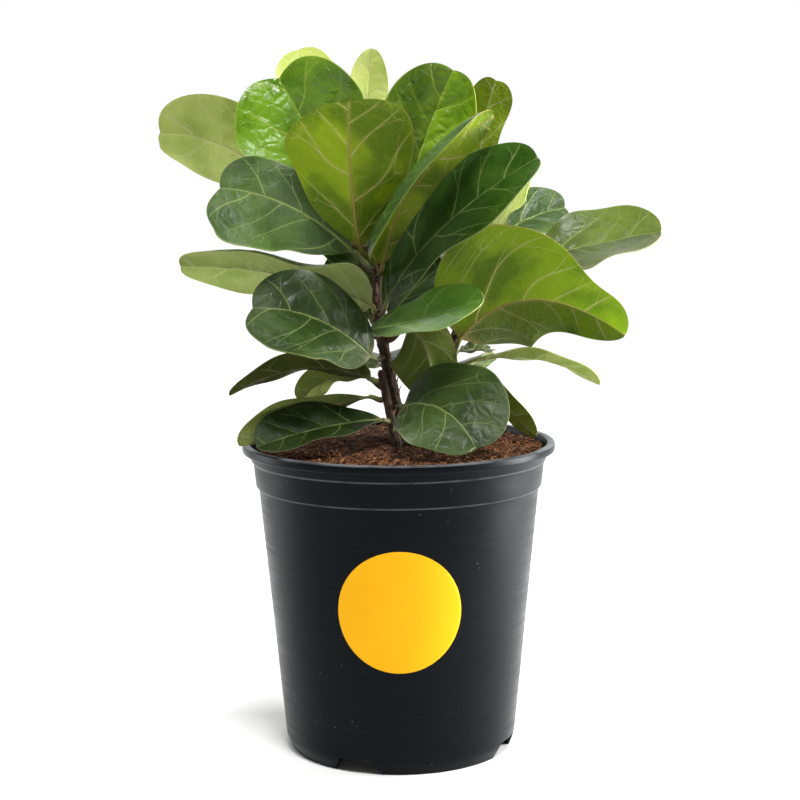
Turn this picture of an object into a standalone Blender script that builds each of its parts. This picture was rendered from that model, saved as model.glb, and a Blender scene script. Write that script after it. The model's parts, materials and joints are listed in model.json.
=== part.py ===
"""A fiddle leaf fig in a round black nursery pot: pot, round label, soil, three stems and their leaves.

Lengths are in millimetres until a mesh is made, which is in metres. X runs to the right, Y to the back
and Z up from the surface that the pot stands on. Heights and places are measured from the pot's axis.
"""

import math
from typing import NamedTuple

import bpy
import numpy as np
from mathutils import Vector

MM = 0.001
GAP = 0.3
SEAT_GAP = 0.5

# The pot's axis lies to one side of the origin, which is under the middle of the whole plant.
POT_AXIS = (-10.0, 0.0)

RIM_RADIUS = 127.0
RIM_INNER_RADIUS = 121.0
RIM_TOP = 252.0
RIM_DROP = 7.0
RIM_ROUNDING = 1.0
COLLAR_RADIUS = 120.5
UPPER_STEP_TOP = 238.0
UPPER_STEP_RADIUS = 118.3
LOWER_STEP_TOP = 216.0
LOWER_STEP_RADIUS = 114.0
CHAMFER_TOP = 10.0
CHAMFER_RADIUS = 94.2
FOOT_RADIUS = 90.0
FOOT_WIDTH = 3.5
WALL = 2.0
BASE_UNDERSIDE = 13.0
BASE_TOP = 16.0
POT_SEGMENTS = 48

NOTCH_ANGLES = (-22.0, 68.0, 158.0, 248.0)
NOTCH_HALF_WIDTH = 20.0
NOTCH_TOP_HALF_WIDTH = 14.0
NOTCH_HEIGHT = 12.0

LABEL_RADIUS = 49.2
LABEL_HEIGHT = 134.5
LABEL_THICKNESS = 0.4
LABEL_RINGS = 5
LABEL_SEGMENTS = 36

SOIL_EDGE = 246.5
SOIL_MOUND = 4.5
SOIL_BUMP = 1.1
SOIL_RINGS = 9
SOIL_SEGMENTS = 40

BARK_SIDES = 10


class Stem(NamedTuple):
    """A stem's axis, from the foot of its hole in the soil up, and its radius at each end."""

    route: tuple
    foot_radius: float
    top_radius: float
    rings: int


STEMS = {
    "stem_main": Stem(
        ((4, 2, 220), (3, 2, 249), (-1, 2, 274), (-6, 3, 300), (-11, 4, 325), (-16, 2, 350), (-17, 1, 375),
         (-14, 0, 398), (-10, 1, 420), (-7, 4, 440), (-4, 8, 462)),
        6.5, 2.6, 18,
    ),
    "stem_side": Stem(
        ((0, -13, 222), (-1, -13, 249), (-6, -12, 272), (-9, -12, 287), (-12, -12, 300), (-14, -12, 312)),
        4.6, 3.2, 10,
    ),
    "stem_right": Stem(
        ((33, 24, 222), (35, 24, 255), (38, 24, 285), (42, 24, 315), (49, 24, 342), (57, 24, 372),
         (63, 24, 395), (68, 24, 414)),
        5.5, 2.8, 13,
    ),
}


class Leaf(NamedTuple):
    """A leaf by its midrib's base, middle and tip, its width and the way its upper face looks.

    left and right are each half's fold at the midrib, its cup across and the roll of its margin, in
    degrees towards the upper face. taper is how slowly the blade widens from its base. waist is how much
    of each half's width is missing at its narrow place, halves is each half's share of the width,
    notch is how far the two lobes at the tip reach past the midrib, and slant is how much further than
    that the right lobe reaches, and the left one falls short.
    """

    stem: str
    joins_at: float
    base: tuple
    middle: tuple
    tip: tuple
    width: float
    faces: tuple
    left: tuple = (10, 8, 0)
    right: tuple = (10, 8, 0)
    twist: float = 0.0
    wave: float = 2.0
    waves: float = 2.0
    phase: float = 0.0
    taper: float = 1.0
    widest: float = 0.62
    blunt: float = 2.4
    waist: tuple = (0.06, 0.06)
    waist_at: float = 0.38
    halves: tuple = (1.0, 1.0)
    notch: float = 3.0
    slant: float = 0.0
    tone: str = "old"


LEAVES = {
    "leaf_01": Leaf("stem_main", 408, (-62, 12, 427), (-127, 34, 484), (-193, 40, 502), 82,
                    (-0.3, 0.75, 0.6), taper=0.8, blunt=3.2, halves=(0.94, 1.12), waist=(0.06, 0.14),
                    notch=4, slant=4, tone="under"),
    "leaf_02": Leaf("stem_main", 422, (-36, 2, 437), (-67, 6, 496), (-94, 18, 544), 106,
                    (-0.3, -0.75, 0.6), taper=0.75, wave=3.5, waves=2.5, halves=(1.06, 1.0), notch=8,
                    tone="bright"),
    "leaf_03": Leaf("stem_main", 390, (-36, -8, 407), (-86, -29, 444), (-137, -46, 458), 80,
                    (-0.15, -0.8, 0.55), left=(2, 8, 0), right=(8, 8, 0), taper=0.8, wave=3,
                    widest=0.7, blunt=3.0, halves=(1.34, 0.8), waist=(0.2, 0.1), notch=6, slant=-16),
    "leaf_04": Leaf("stem_main", 400, (-30, -22, 412), (-36, -50, 475), (-36, -56, 524), 104,
                    (0.05, 0.95, 0.3), taper=0.7, notch=2, slant=-9, tone="glow"),
    "leaf_05": Leaf("stem_main", 440, (-50, 25, 471), (-68, 44, 527), (-80, 56, 568), 52,
                    (-0.2, -0.7, 0.6), notch=1, tone="young"),
    "leaf_06": Leaf("stem_main", 454, (-22, 36, 470), (-24, 52, 519), (-19, 62, 569), 34,
                    (0.1, -0.8, 0.5), blunt=2.0, notch=0, tone="young"),
    "leaf_07": Leaf("stem_main", 432, (10, 7, 446), (21, 22, 489), (46, 28, 550), 86,
                    (0.2, -0.8, 0.5), right=(14, 20, 60), wave=3, tone="bright"),
    "leaf_08": Leaf("stem_main", 388, (-11, -20, 398), (16, -47, 462), (76, -32, 512), 62,
                    (-0.55, 0.65, 0.5), left=(-20, -15, 0), right=(-5, -20, -100), taper=0.5, halves=(0.5, 1.0),
                    waist=(0.0, -1.0), waist_at=0.16, notch=0, tone="glow"),
    "leaf_09": Leaf("stem_main", 356, (-8, -14, 367), (36, -38, 426), (109, -48, 480), 84,
                    (-0.45, -0.6, 0.6), taper=0.7, wave=3),
    "leaf_10": Leaf("stem_right", 326, (51, 10, 334), (109, 0, 366), (182, -14, 338), 124,
                    (-0.1, 0.85, 0.5), left=(12, 8, 0), taper=0.5, widest=0.36, blunt=0.85, wave=3,
                    waist=(0.16, 0.34), waist_at=0.8, halves=(1.0, 1.15), notch=0, tone="glow"),
    "leaf_11": Leaf("stem_main", 337, (-23, -15, 344), (21, -36, 355), (67, -52, 371), 52,
                    (-0.1, -0.58, 0.8), taper=0.7, wave=1.5, notch=1),
    "leaf_12": Leaf("stem_right", 392, (78, 58, 405), (106, 84, 425), (143, 98, 436), 54,
                    (-0.2, -0.8, 0.5)),
    "leaf_13": Leaf("stem_right", 378, (84, 30, 391), (142, 34, 404), (215, 22, 419), 84,
                    (0.05, -0.5, 0.85), left=(8, 10, 0), right=(8, 10, 0), taper=1.1, wave=3.5, waves=2.5,
                    waist=(0.3, 0.28), waist_at=0.36, notch=2),
    "leaf_14": Leaf("stem_right", 402, (78, 22, 418), (91, 20, 438), (106, 20, 459), 28,
                    (-0.6, -0.5, 0.5), tone="young"),
    "leaf_15": Leaf("stem_right", 411, (66, 40, 440), (71, 46, 500), (82, 48, 542), 38,
                    (0.3, 0.9, 0.3), waist=(0.12, 0.12), waist_at=0.5, widest=0.75, notch=2, tone="young"),
    "leaf_16": Leaf("stem_main", 358, (-21, -8, 363), (-94, -2, 388), (-174, 0, 395), 72,
                    (0.0, 0.65, 0.7), left=(0, -10, -60), right=(5, 5, 0), taper=0.35, waist=(-1.1, 0.0),
                    waist_at=0.12, tone="under"),
    "leaf_17": Leaf("stem_main", 320, (-22, -22, 324), (-64, -46, 356), (-112, -62, 366), 78,
                    (-0.15, -0.75, 0.6), taper=0.55, wave=2.5, halves=(1.3, 0.96), waist=(0.24, 0.06),
                    notch=5, slant=-12),
    "leaf_18": Leaf("stem_side", 302, (-22, -15, 305), (-78, -18, 314), (-135, -22, 293), 46,
                    (0.0, 0.5, 0.85), taper=0.45, widest=0.4, blunt=1.05, notch=0, tone="under"),
    "leaf_19": Leaf("stem_main", 294, (-26, 12, 302), (-58, 18, 300), (-80, 22, 281), 32,
                    (0.0, 0.6, 0.7), notch=0, tone="under"),
    "leaf_20": Leaf("stem_side", 270, (-13, -21, 272), (-60, -56, 271), (-109, -80, 260), 56,
                    (-0.1, -0.55, 0.8), taper=0.7, halves=(0.76, 1.04), notch=1),
    "leaf_21": Leaf("stem_side", 287, (-24, -16, 290), (-80, -36, 278), (-126, -56, 259), 36,
                    (-0.2, 0.75, 0.6), notch=0, tone="under"),
    "leaf_22": Leaf("stem_main", 281, (5, -20, 283), (36, -56, 284), (60, -82, 258), 97,
                    (0.05, -0.8, 0.6), taper=0.55, widest=0.5, wave=3, notch=4),
    "leaf_23": Leaf("stem_main", 334, (9, -5, 345), (24, -13, 323), (26, -18, 286), 56,
                    (0.0, 0.95, 0.1), taper=0.6, widest=0.4, blunt=1.6, halves=(1.25, 0.9), notch=0,
                    tone="under"),
    "leaf_24": Leaf("stem_right", 318, (50, 34, 321), (64, 44, 321), (77, 52, 320), 24,
                    (0.0, -0.3, 0.9)),
    "leaf_25": Leaf("stem_right", 306, (54, 20, 312), (112, 12, 317), (164, 4, 296), 30,
                    (0.0, 0.4, 0.9), notch=0, tone="under"),
    "leaf_26": Leaf("stem_right", 294, (56, 22, 304), (76, 26, 287), (113, 14, 252), 30,
                    (0.6, 0.7, 0.5), notch=0, tone="under"),
    "leaf_27": Leaf("stem_main", 342, (-7, 16, 350), (18, 40, 376), (50, 60, 398), 66,
                    (-0.2, -0.6, 0.75)),
    "leaf_28": Leaf("stem_right", 384, (52, 14, 392), (40, 0, 415), (24, -8, 440), 42,
                    (0.3, -0.8, 0.5)),
    "leaf_29": Leaf("stem_main", 386, (-20, 14, 391), (-38, 34, 410), (-60, 48, 434), 54,
                    (0.0, -0.85, 0.4), taper=0.6, wave=2),
    "leaf_30": Leaf("stem_main", 346, (-22, 15, 350), (-36, 34, 370), (-62, 50, 388), 66,
                    (0.0, -0.85, 0.4), taper=0.5, wave=2),
    "leaf_31": Leaf("stem_right", 352, (54, 38, 358), (72, 78, 372), (86, 114, 366), 78,
                    (0.0, -0.3, 0.95), taper=0.8, wave=3),
    "leaf_32": Leaf("stem_right", 292, (42, 38, 300), (52, 80, 306), (58, 118, 290), 62,
                    (0.0, 0.2, 0.95), taper=0.8),
    "leaf_33": Leaf("stem_main", 300, (-6, 14, 306), (-10, 55, 316), (-20, 96, 300), 66,
                    (-0.1, 0.2, 0.95), taper=0.8),
    "leaf_34": Leaf("stem_main", 446, (2, 30, 462), (20, 62, 502), (32, 82, 536), 60,
                    (0.1, -0.85, 0.4), tone="bright"),
}

BLADE_ROWS = 9
PETIOLE_ROWS = 3
ACROSS = (-1.0, -0.68, -0.34, 0.0, 0.34, 0.68, 1.0)
SECTION_STEPS = 48
BLADE_THICKNESS = 0.8
RIB_DEPTH = 0.5
RIB_HALF_WIDTH = 3.0
PETIOLE_RADIUS = 1.9
PETIOLE_FLARE = 0.7
TIP_FRACTION = 0.05
WAIST_REACH = 0.15
SHARP_ANGLE = math.radians(40)

COLOURS = {
    "plastic": ((0.010, 0.012, 0.015), 0.35),
    "label": ((0.93, 0.47, 0.01), 0.45),
    "soil": ((0.12, 0.045, 0.018), 0.95),
    "bark": ((0.045, 0.025, 0.015), 0.9),
    "old": ((0.04, 0.10, 0.02), 0.35),
    "bright": ((0.10, 0.26, 0.02), 0.3),
    "glow": ((0.17, 0.27, 0.02), 0.5),
    "under": ((0.24, 0.32, 0.09), 0.6),
    "young": ((0.45, 0.60, 0.10), 0.4),
}


def clear_scene():
    for obj in list(bpy.data.objects):
        bpy.data.objects.remove(obj, do_unlink=True)


def make_materials():
    made = {}
    for name, (colour, roughness) in COLOURS.items():
        material = bpy.data.materials.new(name)
        material.use_nodes = True
        shader = material.node_tree.nodes["Principled BSDF"]
        shader.inputs["Base Color"].default_value = (*colour, 1.0)
        shader.inputs["Roughness"].default_value = roughness
        made[name] = material
    return made


def add_object(name, points, faces, material, parent):
    """A mesh object from points in millimetres, shaded smooth except at its sharp edges."""
    mesh = bpy.data.meshes.new(name)
    mesh.from_pydata([tuple(float(c) * MM for c in p) for p in points], [], faces)
    mesh.update()
    mesh.shade_smooth()
    mesh.set_sharp_from_angle(angle=SHARP_ANGLE)
    obj = bpy.data.objects.new(name, mesh)
    obj.parent = parent
    if material:
        mesh.materials.append(material)
    bpy.context.collection.objects.link(obj)
    return obj


def hide_cutter(obj):
    obj.hide_render = True
    obj.display_type = "WIRE"


def cut(obj, cutter, name):
    modifier = obj.modifiers.new(name, "BOOLEAN")
    modifier.operation = "DIFFERENCE"
    modifier.object = cutter


def wall_radius(height):
    """The main wall's outer radius, below the lower step."""
    part = (height - CHAMFER_TOP) / (LOWER_STEP_TOP - CHAMFER_TOP)
    return CHAMFER_RADIUS + (LOWER_STEP_RADIUS - CHAMFER_RADIUS) * part


def pot_profile():
    """Outside from the lip down to the foot, then inside from the foot up to the lip."""
    rim_under = RIM_TOP - RIM_DROP
    step = 1.2
    outside = [
        (RIM_INNER_RADIUS + RIM_ROUNDING, RIM_TOP),
        (RIM_RADIUS - RIM_ROUNDING, RIM_TOP),
        (RIM_RADIUS, RIM_TOP - RIM_ROUNDING),
        (RIM_RADIUS, rim_under + RIM_ROUNDING),
        (RIM_RADIUS - RIM_ROUNDING, rim_under),
        (COLLAR_RADIUS + 0.8, rim_under),
        (COLLAR_RADIUS - 0.7, UPPER_STEP_TOP),
        (UPPER_STEP_RADIUS, UPPER_STEP_TOP - step),
        (LOWER_STEP_RADIUS + 2.2, LOWER_STEP_TOP + step),
        (LOWER_STEP_RADIUS, LOWER_STEP_TOP),
        (CHAMFER_RADIUS, CHAMFER_TOP),
        (FOOT_RADIUS + 0.4, 0.8),
        (FOOT_RADIUS, 0.0),
    ]
    inside = [
        (FOOT_RADIUS - FOOT_WIDTH, 0.0),
        (FOOT_RADIUS - FOOT_WIDTH + 0.6, BASE_UNDERSIDE),
        (0.0, BASE_UNDERSIDE),
        (0.0, BASE_TOP),
        (wall_radius(BASE_TOP) - WALL - 1.0, BASE_TOP),
        (wall_radius(BASE_TOP + 3.0) - WALL, BASE_TOP + 3.0),
        (LOWER_STEP_RADIUS - WALL, LOWER_STEP_TOP - step),
        (LOWER_STEP_RADIUS + 2.2 - WALL, LOWER_STEP_TOP + step),
        (UPPER_STEP_RADIUS - WALL, UPPER_STEP_TOP - step),
        (RIM_INNER_RADIUS - WALL, rim_under),
        (RIM_INNER_RADIUS, RIM_TOP - RIM_ROUNDING),
    ]
    return outside + inside


def make_notch_cutter(parent):
    """Four wedges that open the foot ring, narrower at the top, reaching in and out past the ring."""
    points, faces = [], []
    inner, outer = FOOT_RADIUS - 14.0, FOOT_RADIUS + 12.0
    for angle in NOTCH_ANGLES:
        turn = math.radians(angle - 90.0)
        out = Vector((math.cos(turn), math.sin(turn), 0.0))
        side = Vector((-out.y, out.x, 0.0))
        start = len(points)
        for radius in (inner, outer):
            for half, height in (
                (-NOTCH_HALF_WIDTH - 1.0, -2.0),
                (NOTCH_HALF_WIDTH + 1.0, -2.0),
                (NOTCH_TOP_HALF_WIDTH, NOTCH_HEIGHT),
                (-NOTCH_TOP_HALF_WIDTH, NOTCH_HEIGHT),
            ):
                points.append(out * radius + side * half + Vector((0.0, 0.0, height)))
        box = ((0, 1, 2, 3), (7, 6, 5, 4), (0, 4, 5, 1), (1, 5, 6, 2), (2, 6, 7, 3), (3, 7, 4, 0))
        faces += [tuple(start + k for k in reversed(face)) for face in box]
    cutter = add_object("notch_cutter", points, faces, None, parent)
    hide_cutter(cutter)
    return cutter


def make_pot(parent, material):
    profile = pot_profile()
    mesh = bpy.data.meshes.new("pot")
    edges = [(k, (k + 1) % len(profile)) for k in range(len(profile))]
    # The two points on the axis need no edge between them.
    edges = [e for e in edges if not (profile[e[0]][0] == 0 and profile[e[1]][0] == 0)]
    mesh.from_pydata([(r * MM, 0.0, z * MM) for r, z in profile], edges, [])
    mesh.materials.append(material)
    pot = bpy.data.objects.new("pot", mesh)
    pot.parent = parent
    bpy.context.collection.objects.link(pot)
    screw = pot.modifiers.new("turn", "SCREW")
    screw.steps = POT_SEGMENTS
    screw.render_steps = POT_SEGMENTS
    screw.use_merge_vertices = True
    screw.merge_threshold = 0.00001
    cut(pot, make_notch_cutter(parent), "notches")
    return pot


def make_label(parent, material):
    """A thin round label bent to the pot's wall, with its centre at the front."""
    points, faces = [], []
    slope = math.atan2(LOWER_STEP_RADIUS - CHAMFER_RADIUS, LOWER_STEP_TOP - CHAMFER_TOP)
    per_face = 1 + LABEL_RINGS * LABEL_SEGMENTS
    for lift in (GAP, GAP + LABEL_THICKNESS):
        for ring in range(LABEL_RINGS + 1):
            for k in range(LABEL_SEGMENTS if ring else 1):
                turn = math.tau * k / LABEL_SEGMENTS
                reach = LABEL_RADIUS * ring / LABEL_RINGS
                height = LABEL_HEIGHT + reach * math.sin(turn) * math.cos(slope)
                radius = wall_radius(height) + lift
                around = reach * math.cos(turn) / radius
                points.append((radius * math.sin(around), -radius * math.cos(around), height))

    def at(face, ring, k):
        if ring == 0:
            return face * per_face
        return face * per_face + 1 + (ring - 1) * LABEL_SEGMENTS + k % LABEL_SEGMENTS

    for k in range(LABEL_SEGMENTS):
        faces.append((at(1, 0, 0), at(1, 1, k), at(1, 1, k + 1)))
        faces.append((at(0, 0, 0), at(0, 1, k + 1), at(0, 1, k)))
        for ring in range(1, LABEL_RINGS):
            faces.append((at(1, ring, k), at(1, ring + 1, k), at(1, ring + 1, k + 1), at(1, ring, k + 1)))
            faces.append((at(0, ring, k), at(0, ring, k + 1), at(0, ring + 1, k + 1), at(0, ring + 1, k)))
        last = LABEL_RINGS
        faces.append((at(0, last, k), at(0, last, k + 1), at(1, last, k + 1), at(1, last, k)))
    return add_object("label", points, faces, material, parent)


def soil_height(x, y):
    """The soil's surface: a low mound round the stems, with lumps."""
    reach = math.hypot(x, y) / RIM_INNER_RADIUS
    lumps = math.sin(0.21 * x + 1.3) * math.sin(0.17 * y + 0.4) + 0.6 * math.sin(0.33 * x - 0.29 * y)
    return SOIL_EDGE + SOIL_MOUND * (1.0 - reach**2) + SOIL_BUMP * lumps * (1.0 - reach**6)


def inner_wall_radius(height):
    """The pot's inner radius beside the soil."""
    if height > LOWER_STEP_TOP:
        part = (height - LOWER_STEP_TOP) / (RIM_TOP - LOWER_STEP_TOP)
        return LOWER_STEP_RADIUS - WALL + (RIM_INNER_RADIUS - LOWER_STEP_RADIUS) * part
    return wall_radius(height) - WALL


def make_soil(parent, material):
    """One body that fills the pot, with a plain hole for each stem."""
    side = 0.8
    edge_radius = inner_wall_radius(SOIL_EDGE) - side
    floor = BASE_TOP + GAP
    points = [(0.0, 0.0, soil_height(0.0, 0.0))]
    for ring in range(1, SOIL_RINGS + 1):
        reach = edge_radius * ring / SOIL_RINGS
        for k in range(SOIL_SEGMENTS):
            turn = math.tau * k / SOIL_SEGMENTS
            x, y = reach * math.cos(turn), reach * math.sin(turn)
            points.append((x, y, soil_height(x, y)))
    for height, inset in ((LOWER_STEP_TOP - 4.0, side), (floor + 5.0, side), (floor, 3.0)):
        reach = inner_wall_radius(height) - inset
        for k in range(SOIL_SEGMENTS):
            turn = math.tau * k / SOIL_SEGMENTS
            points.append((reach * math.cos(turn), reach * math.sin(turn), height))
    rings = SOIL_RINGS + 3

    def at(ring, k):
        return 0 if ring == 0 else 1 + (ring - 1) * SOIL_SEGMENTS + k % SOIL_SEGMENTS

    faces = [(0, at(1, k), at(1, k + 1)) for k in range(SOIL_SEGMENTS)]
    for ring in range(1, rings):
        for k in range(SOIL_SEGMENTS):
            a, b, c, d = at(ring, k), at(ring + 1, k), at(ring + 1, k + 1), at(ring, k + 1)
            faces += [(a, b, c), (a, c, d)]
    faces.append(tuple(at(rings, k) for k in reversed(range(SOIL_SEGMENTS))))
    soil = add_object("soil", points, faces, material, parent)
    for name, stem in STEMS.items():
        cut(soil, make_socket(name, stem, parent), name)
    return soil


def make_socket(name, stem, parent):
    """The plain round hole that a stem stands in: its axis follows the stem's lowest stretch."""
    low, high = (np.array(p, float) for p in stem.route[:2])
    along = (high - low) / np.linalg.norm(high - low)
    ends = (low - along * 2.0 * GAP, high + along * 40.0)
    rings = [ring_round(end, along, stem.foot_radius + GAP, 16) for end in ends]
    faces = [(k, (k + 1) % 16, 16 + (k + 1) % 16, 16 + k) for k in range(16)]
    faces += [tuple(reversed(range(16))), tuple(range(16, 32))]
    cutter = add_object(name + "_socket", [p for ring in rings for p in ring], faces, None, parent)
    hide_cutter(cutter)
    return cutter


def unit(v):
    return v / np.linalg.norm(v)


def ring_round(centre, along, radius, sides):
    """Points on a circle that turns anticlockwise seen from the end that along points to."""
    first = unit(np.cross(along, (0.0, -1.0, 0.0)))
    second = np.cross(along, first)
    turns = math.tau * np.arange(sides) / sides
    return [centre + radius * (math.cos(t) * first + math.sin(t) * second) for t in turns]


def stem_point(stem, height):
    """The stem's axis at a height."""
    route = np.array(stem.route, float)
    return np.array([np.interp(height, route[:, 2], route[:, c]) for c in range(3)])


def stem_radius(stem, height):
    low, high = stem.route[0][2], stem.route[-1][2]
    return stem.foot_radius + (stem.top_radius - stem.foot_radius) * (height - low) / (high - low)


def make_stem(name, stem, parent, material):
    """A woody stem whose girth is nipped in between the old leaf scars."""
    points, faces = [], []
    heights = np.linspace(stem.route[0][2], stem.route[-1][2], stem.rings)
    for k, height in enumerate(heights):
        low, high = stem_point(stem, height - 4.0), stem_point(stem, height + 4.0)
        nip = 0.90 if k % 2 and height > SOIL_EDGE + SOIL_MOUND else 1.0
        radius = stem_radius(stem, height) * nip
        points += ring_round(stem_point(stem, height), unit(high - low + (0.0, 0.0, 1e-6)), radius, BARK_SIDES)
    for ring in range(stem.rings - 1):
        for k in range(BARK_SIDES):
            a, b = ring * BARK_SIDES + k, ring * BARK_SIDES + (k + 1) % BARK_SIDES
            faces += [(a, b, b + BARK_SIDES), (a, b + BARK_SIDES, a + BARK_SIDES)]
    top = (stem.rings - 1) * BARK_SIDES
    faces += [tuple(reversed(range(BARK_SIDES))), tuple(range(top, top + BARK_SIDES))]
    return add_object(name, points, faces, material, parent)


def midrib(leaf, t):
    """Points and directions along the blade's midrib, which passes through the leaf's middle half way."""
    base, middle, tip = (np.array(p, float) for p in (leaf.base, leaf.middle, leaf.tip))
    bend = 2.0 * middle - (base + tip) / 2.0
    t = t[:, None]
    points = (1 - t) ** 2 * base + 2 * t * (1 - t) * bend + t**2 * tip
    ways = (1 - t) * (bend - base) + t * (tip - bend)
    return points, ways / np.linalg.norm(ways, axis=1)[:, None]


def half_width(leaf, t):
    """The blade's outline: it widens from a narrow base, and its end is broad and round."""
    rise = np.sin(np.pi / 2 * np.clip(t / leaf.widest, 0, 1)) ** leaf.taper
    fall = 1 - np.clip((t - leaf.widest) / (1 - leaf.widest), 0, 1) ** leaf.blunt
    whole = np.where(t < leaf.widest, rise, np.sqrt(np.maximum(fall, 0)))
    return leaf.width / 2 * np.maximum(whole, TIP_FRACTION)


def side_shares(leaf, t, s):
    """Each point's share of the half width, smaller at the waist of its own side."""
    dip = np.exp(-(((t - leaf.waist_at) / WAIST_REACH) ** 2))[:, None]
    own = np.where(s < 0, leaf.halves[0], leaf.halves[1])[None, :]
    return own * (1 - dip * np.where(s < 0, leaf.waist[0], leaf.waist[1])[None, :])


def lobes(leaf, t, across):
    """How far the tip's lobes reach past the end of the midrib."""
    rise = np.clip((t[:, None] - 0.5) / 0.5, 0, 1)
    part = np.clip(across / (leaf.width / 2), -1.2, 1.2)
    ahead = leaf.notch * np.sin(np.pi * np.clip(np.abs(part), 0, 1)) + leaf.slant * part
    return ahead * rise**2 * (3 - 2 * rise)


def half_section(half, s, t):
    """How far across and how far up a half blade goes, and its slope there, for a half width of 1."""
    fold, cup, roll = half
    fine = np.linspace(0, 1, SECTION_STEPS + 1)
    window = np.sin(np.pi * np.clip(t, 0, 1)) ** 0.7
    slope = fold + cup * fine[None, :] + roll * window[:, None] * np.clip((fine[None, :] - 0.5) / 0.5, 0, 1)
    slope = np.radians(slope)
    step = 1.0 / SECTION_STEPS
    middle = (slope[:, 1:] + slope[:, :-1]) / 2
    across = np.concatenate([np.zeros((len(t), 1)), np.cumsum(np.cos(middle), axis=1)], axis=1) * step
    up = np.concatenate([np.zeros((len(t), 1)), np.cumsum(np.sin(middle), axis=1)], axis=1) * step
    columns = [[np.interp(v, fine, row) for v in s] for table in (across, up, slope) for row in table]
    return np.array(columns).reshape(3, len(t), len(s))


def blade_faces(leaf, t, s):
    """The blade's upper and lower points, by row along it and by column across it."""
    centre, way = midrib(leaf, t)
    faces = np.array(leaf.faces, float)
    normal = faces - (way @ faces)[:, None] * way
    normal /= np.linalg.norm(normal, axis=1)[:, None]
    side = np.cross(way, normal)
    turn = np.radians(leaf.twist) * (t - 0.5)[:, None]
    normal, side = (
        normal * np.cos(turn) + side * np.sin(turn),
        side * np.cos(turn) - normal * np.sin(turn),
    )
    reach = np.abs(s)
    left, right = half_section(leaf.left, reach, t), half_section(leaf.right, reach, t)
    across, up, slope = np.where((s < 0)[None, None, :], left, right)
    sign = np.sign(s)[None, :]
    width = half_width(leaf, t)[:, None] * side_shares(leaf, t, s)
    out = side[:, None, :] * (sign * across * width)[:, :, None] + normal[:, None, :] * (up * width)[:, :, None]
    local = normal[:, None, :] * np.cos(slope)[:, :, None] - side[:, None, :] * (sign * np.sin(slope))[:, :, None]
    ripple = np.sin(2 * np.pi * leaf.waves * t[:, None] + leaf.phase + (s[None, :] > 0) * 2.1)
    ripple = ripple * leaf.wave * (reach[None, :] ** 2) * np.sin(np.pi * np.clip(t, 0, 1))[:, None] ** 0.5
    ahead = way[:, None, :] * lobes(leaf, t, s[None, :] * width)[:, :, None]
    centre = centre[:, None, :] + ahead + out + local * ripple[:, :, None]
    half = BLADE_THICKNESS / 2
    rib = RIB_DEPTH * (1 - 0.7 * t[:, None]) * np.exp(-((reach[None, :] * width / RIB_HALF_WIDTH) ** 2))
    return centre + local * half, centre - local * (half + rib)[:, :, None]


def petiole_rings(leaf, rows, count):
    """Rings round the leaf stalk, from its seat beside the stem to the blade's base."""
    stem = STEMS[leaf.stem]
    axis = stem_point(stem, leaf.joins_at)
    base, way = (v[0] for v in midrib(leaf, np.array([0.0])))
    away = base - axis
    away = unit(np.array([away[0], away[1], 0.0]))
    root = axis + away * (stem_radius(stem, leaf.joins_at) + SEAT_GAP)
    length = np.linalg.norm(base - root)
    rings = []
    for u in np.linspace(0, 1, rows + 1)[:-1]:
        near, far = root + away * 0.4 * length, base - way * 0.4 * length
        point = (1 - u) ** 3 * root + 3 * u * (1 - u) ** 2 * near + 3 * u**2 * (1 - u) * far + u**3 * base
        along = 3 * (1 - u) ** 2 * (near - root) + 6 * u * (1 - u) * (far - near) + 3 * u**2 * (base - far)
        along = unit(along)
        up = np.array(leaf.faces, float)
        up = unit(up - (up @ along) * along)
        side = np.cross(along, up)
        radius = PETIOLE_RADIUS + PETIOLE_FLARE * (1 - u) ** 2
        turns = np.pi - np.pi / count * (np.arange(2 * count) + 0.5)
        rings.append([point + radius * (math.cos(a) * side + math.sin(a) * up) for a in turns])
    return rings


def make_leaf(name, leaf, parent, materials):
    """A stalk and a blade in one closed body, lofted through rings of upper and lower points."""
    s = np.array(ACROSS)
    count = len(s)
    t = 1 - (1 - np.linspace(0, 1, BLADE_ROWS + 1)) ** 1.6
    upper, lower = blade_faces(leaf, t, s)
    rings = petiole_rings(leaf, PETIOLE_ROWS, count)
    rings += [list(upper[row]) + list(lower[row][::-1]) for row in range(len(t))]
    points = [p for ring in rings for p in ring]
    around = 2 * count
    faces = []
    for ring in range(len(rings) - 1):
        for k in range(around):
            a, b = ring * around + k, ring * around + (k + 1) % around
            c, d = b + around, a + around
            # The lower face is split along the diagonal that lies under the upper face's.
            faces += [(a, b, c), (a, c, d)] if k < count else [(a, b, d), (b, c, d)]
    last = (len(rings) - 1) * around
    for k in range(count - 1):
        a, b, c, d = k, k + 1, around - 2 - k, around - 1 - k
        faces.append((d, c, b, a))
        faces.append((last + a, last + b, last + c, last + d))
    return add_object(name, points, faces, materials[leaf.tone], parent)


def main():
    clear_scene()
    materials = make_materials()
    plant = bpy.data.objects.new("plant", None)
    plant.location = (POT_AXIS[0] * MM, POT_AXIS[1] * MM, 0.0)
    bpy.context.collection.objects.link(plant)
    make_pot(plant, materials["plastic"])
    make_label(plant, materials["label"])
    make_soil(plant, materials["soil"])
    for name, stem in STEMS.items():
        make_stem(name, stem, plant, materials["bark"])
    for name, leaf in LEAVES.items():
        make_leaf(name, leaf, plant, materials)


main()
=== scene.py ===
"""The looks of a potted fiddle leaf fig: veined, waved leaves on barky stems, bark chips as soil, a moulded
black nursery pot and a plain round label.

Lengths are in millimetres until a mesh is made, which is in metres. Places are measured from the pot's axis
and from the surface that the pot stands on, with X to the right, Y to the back and Z up.
"""

import json
import math
from typing import NamedTuple

import bpy
import numpy as np
from mathutils import Matrix, Vector

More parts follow.
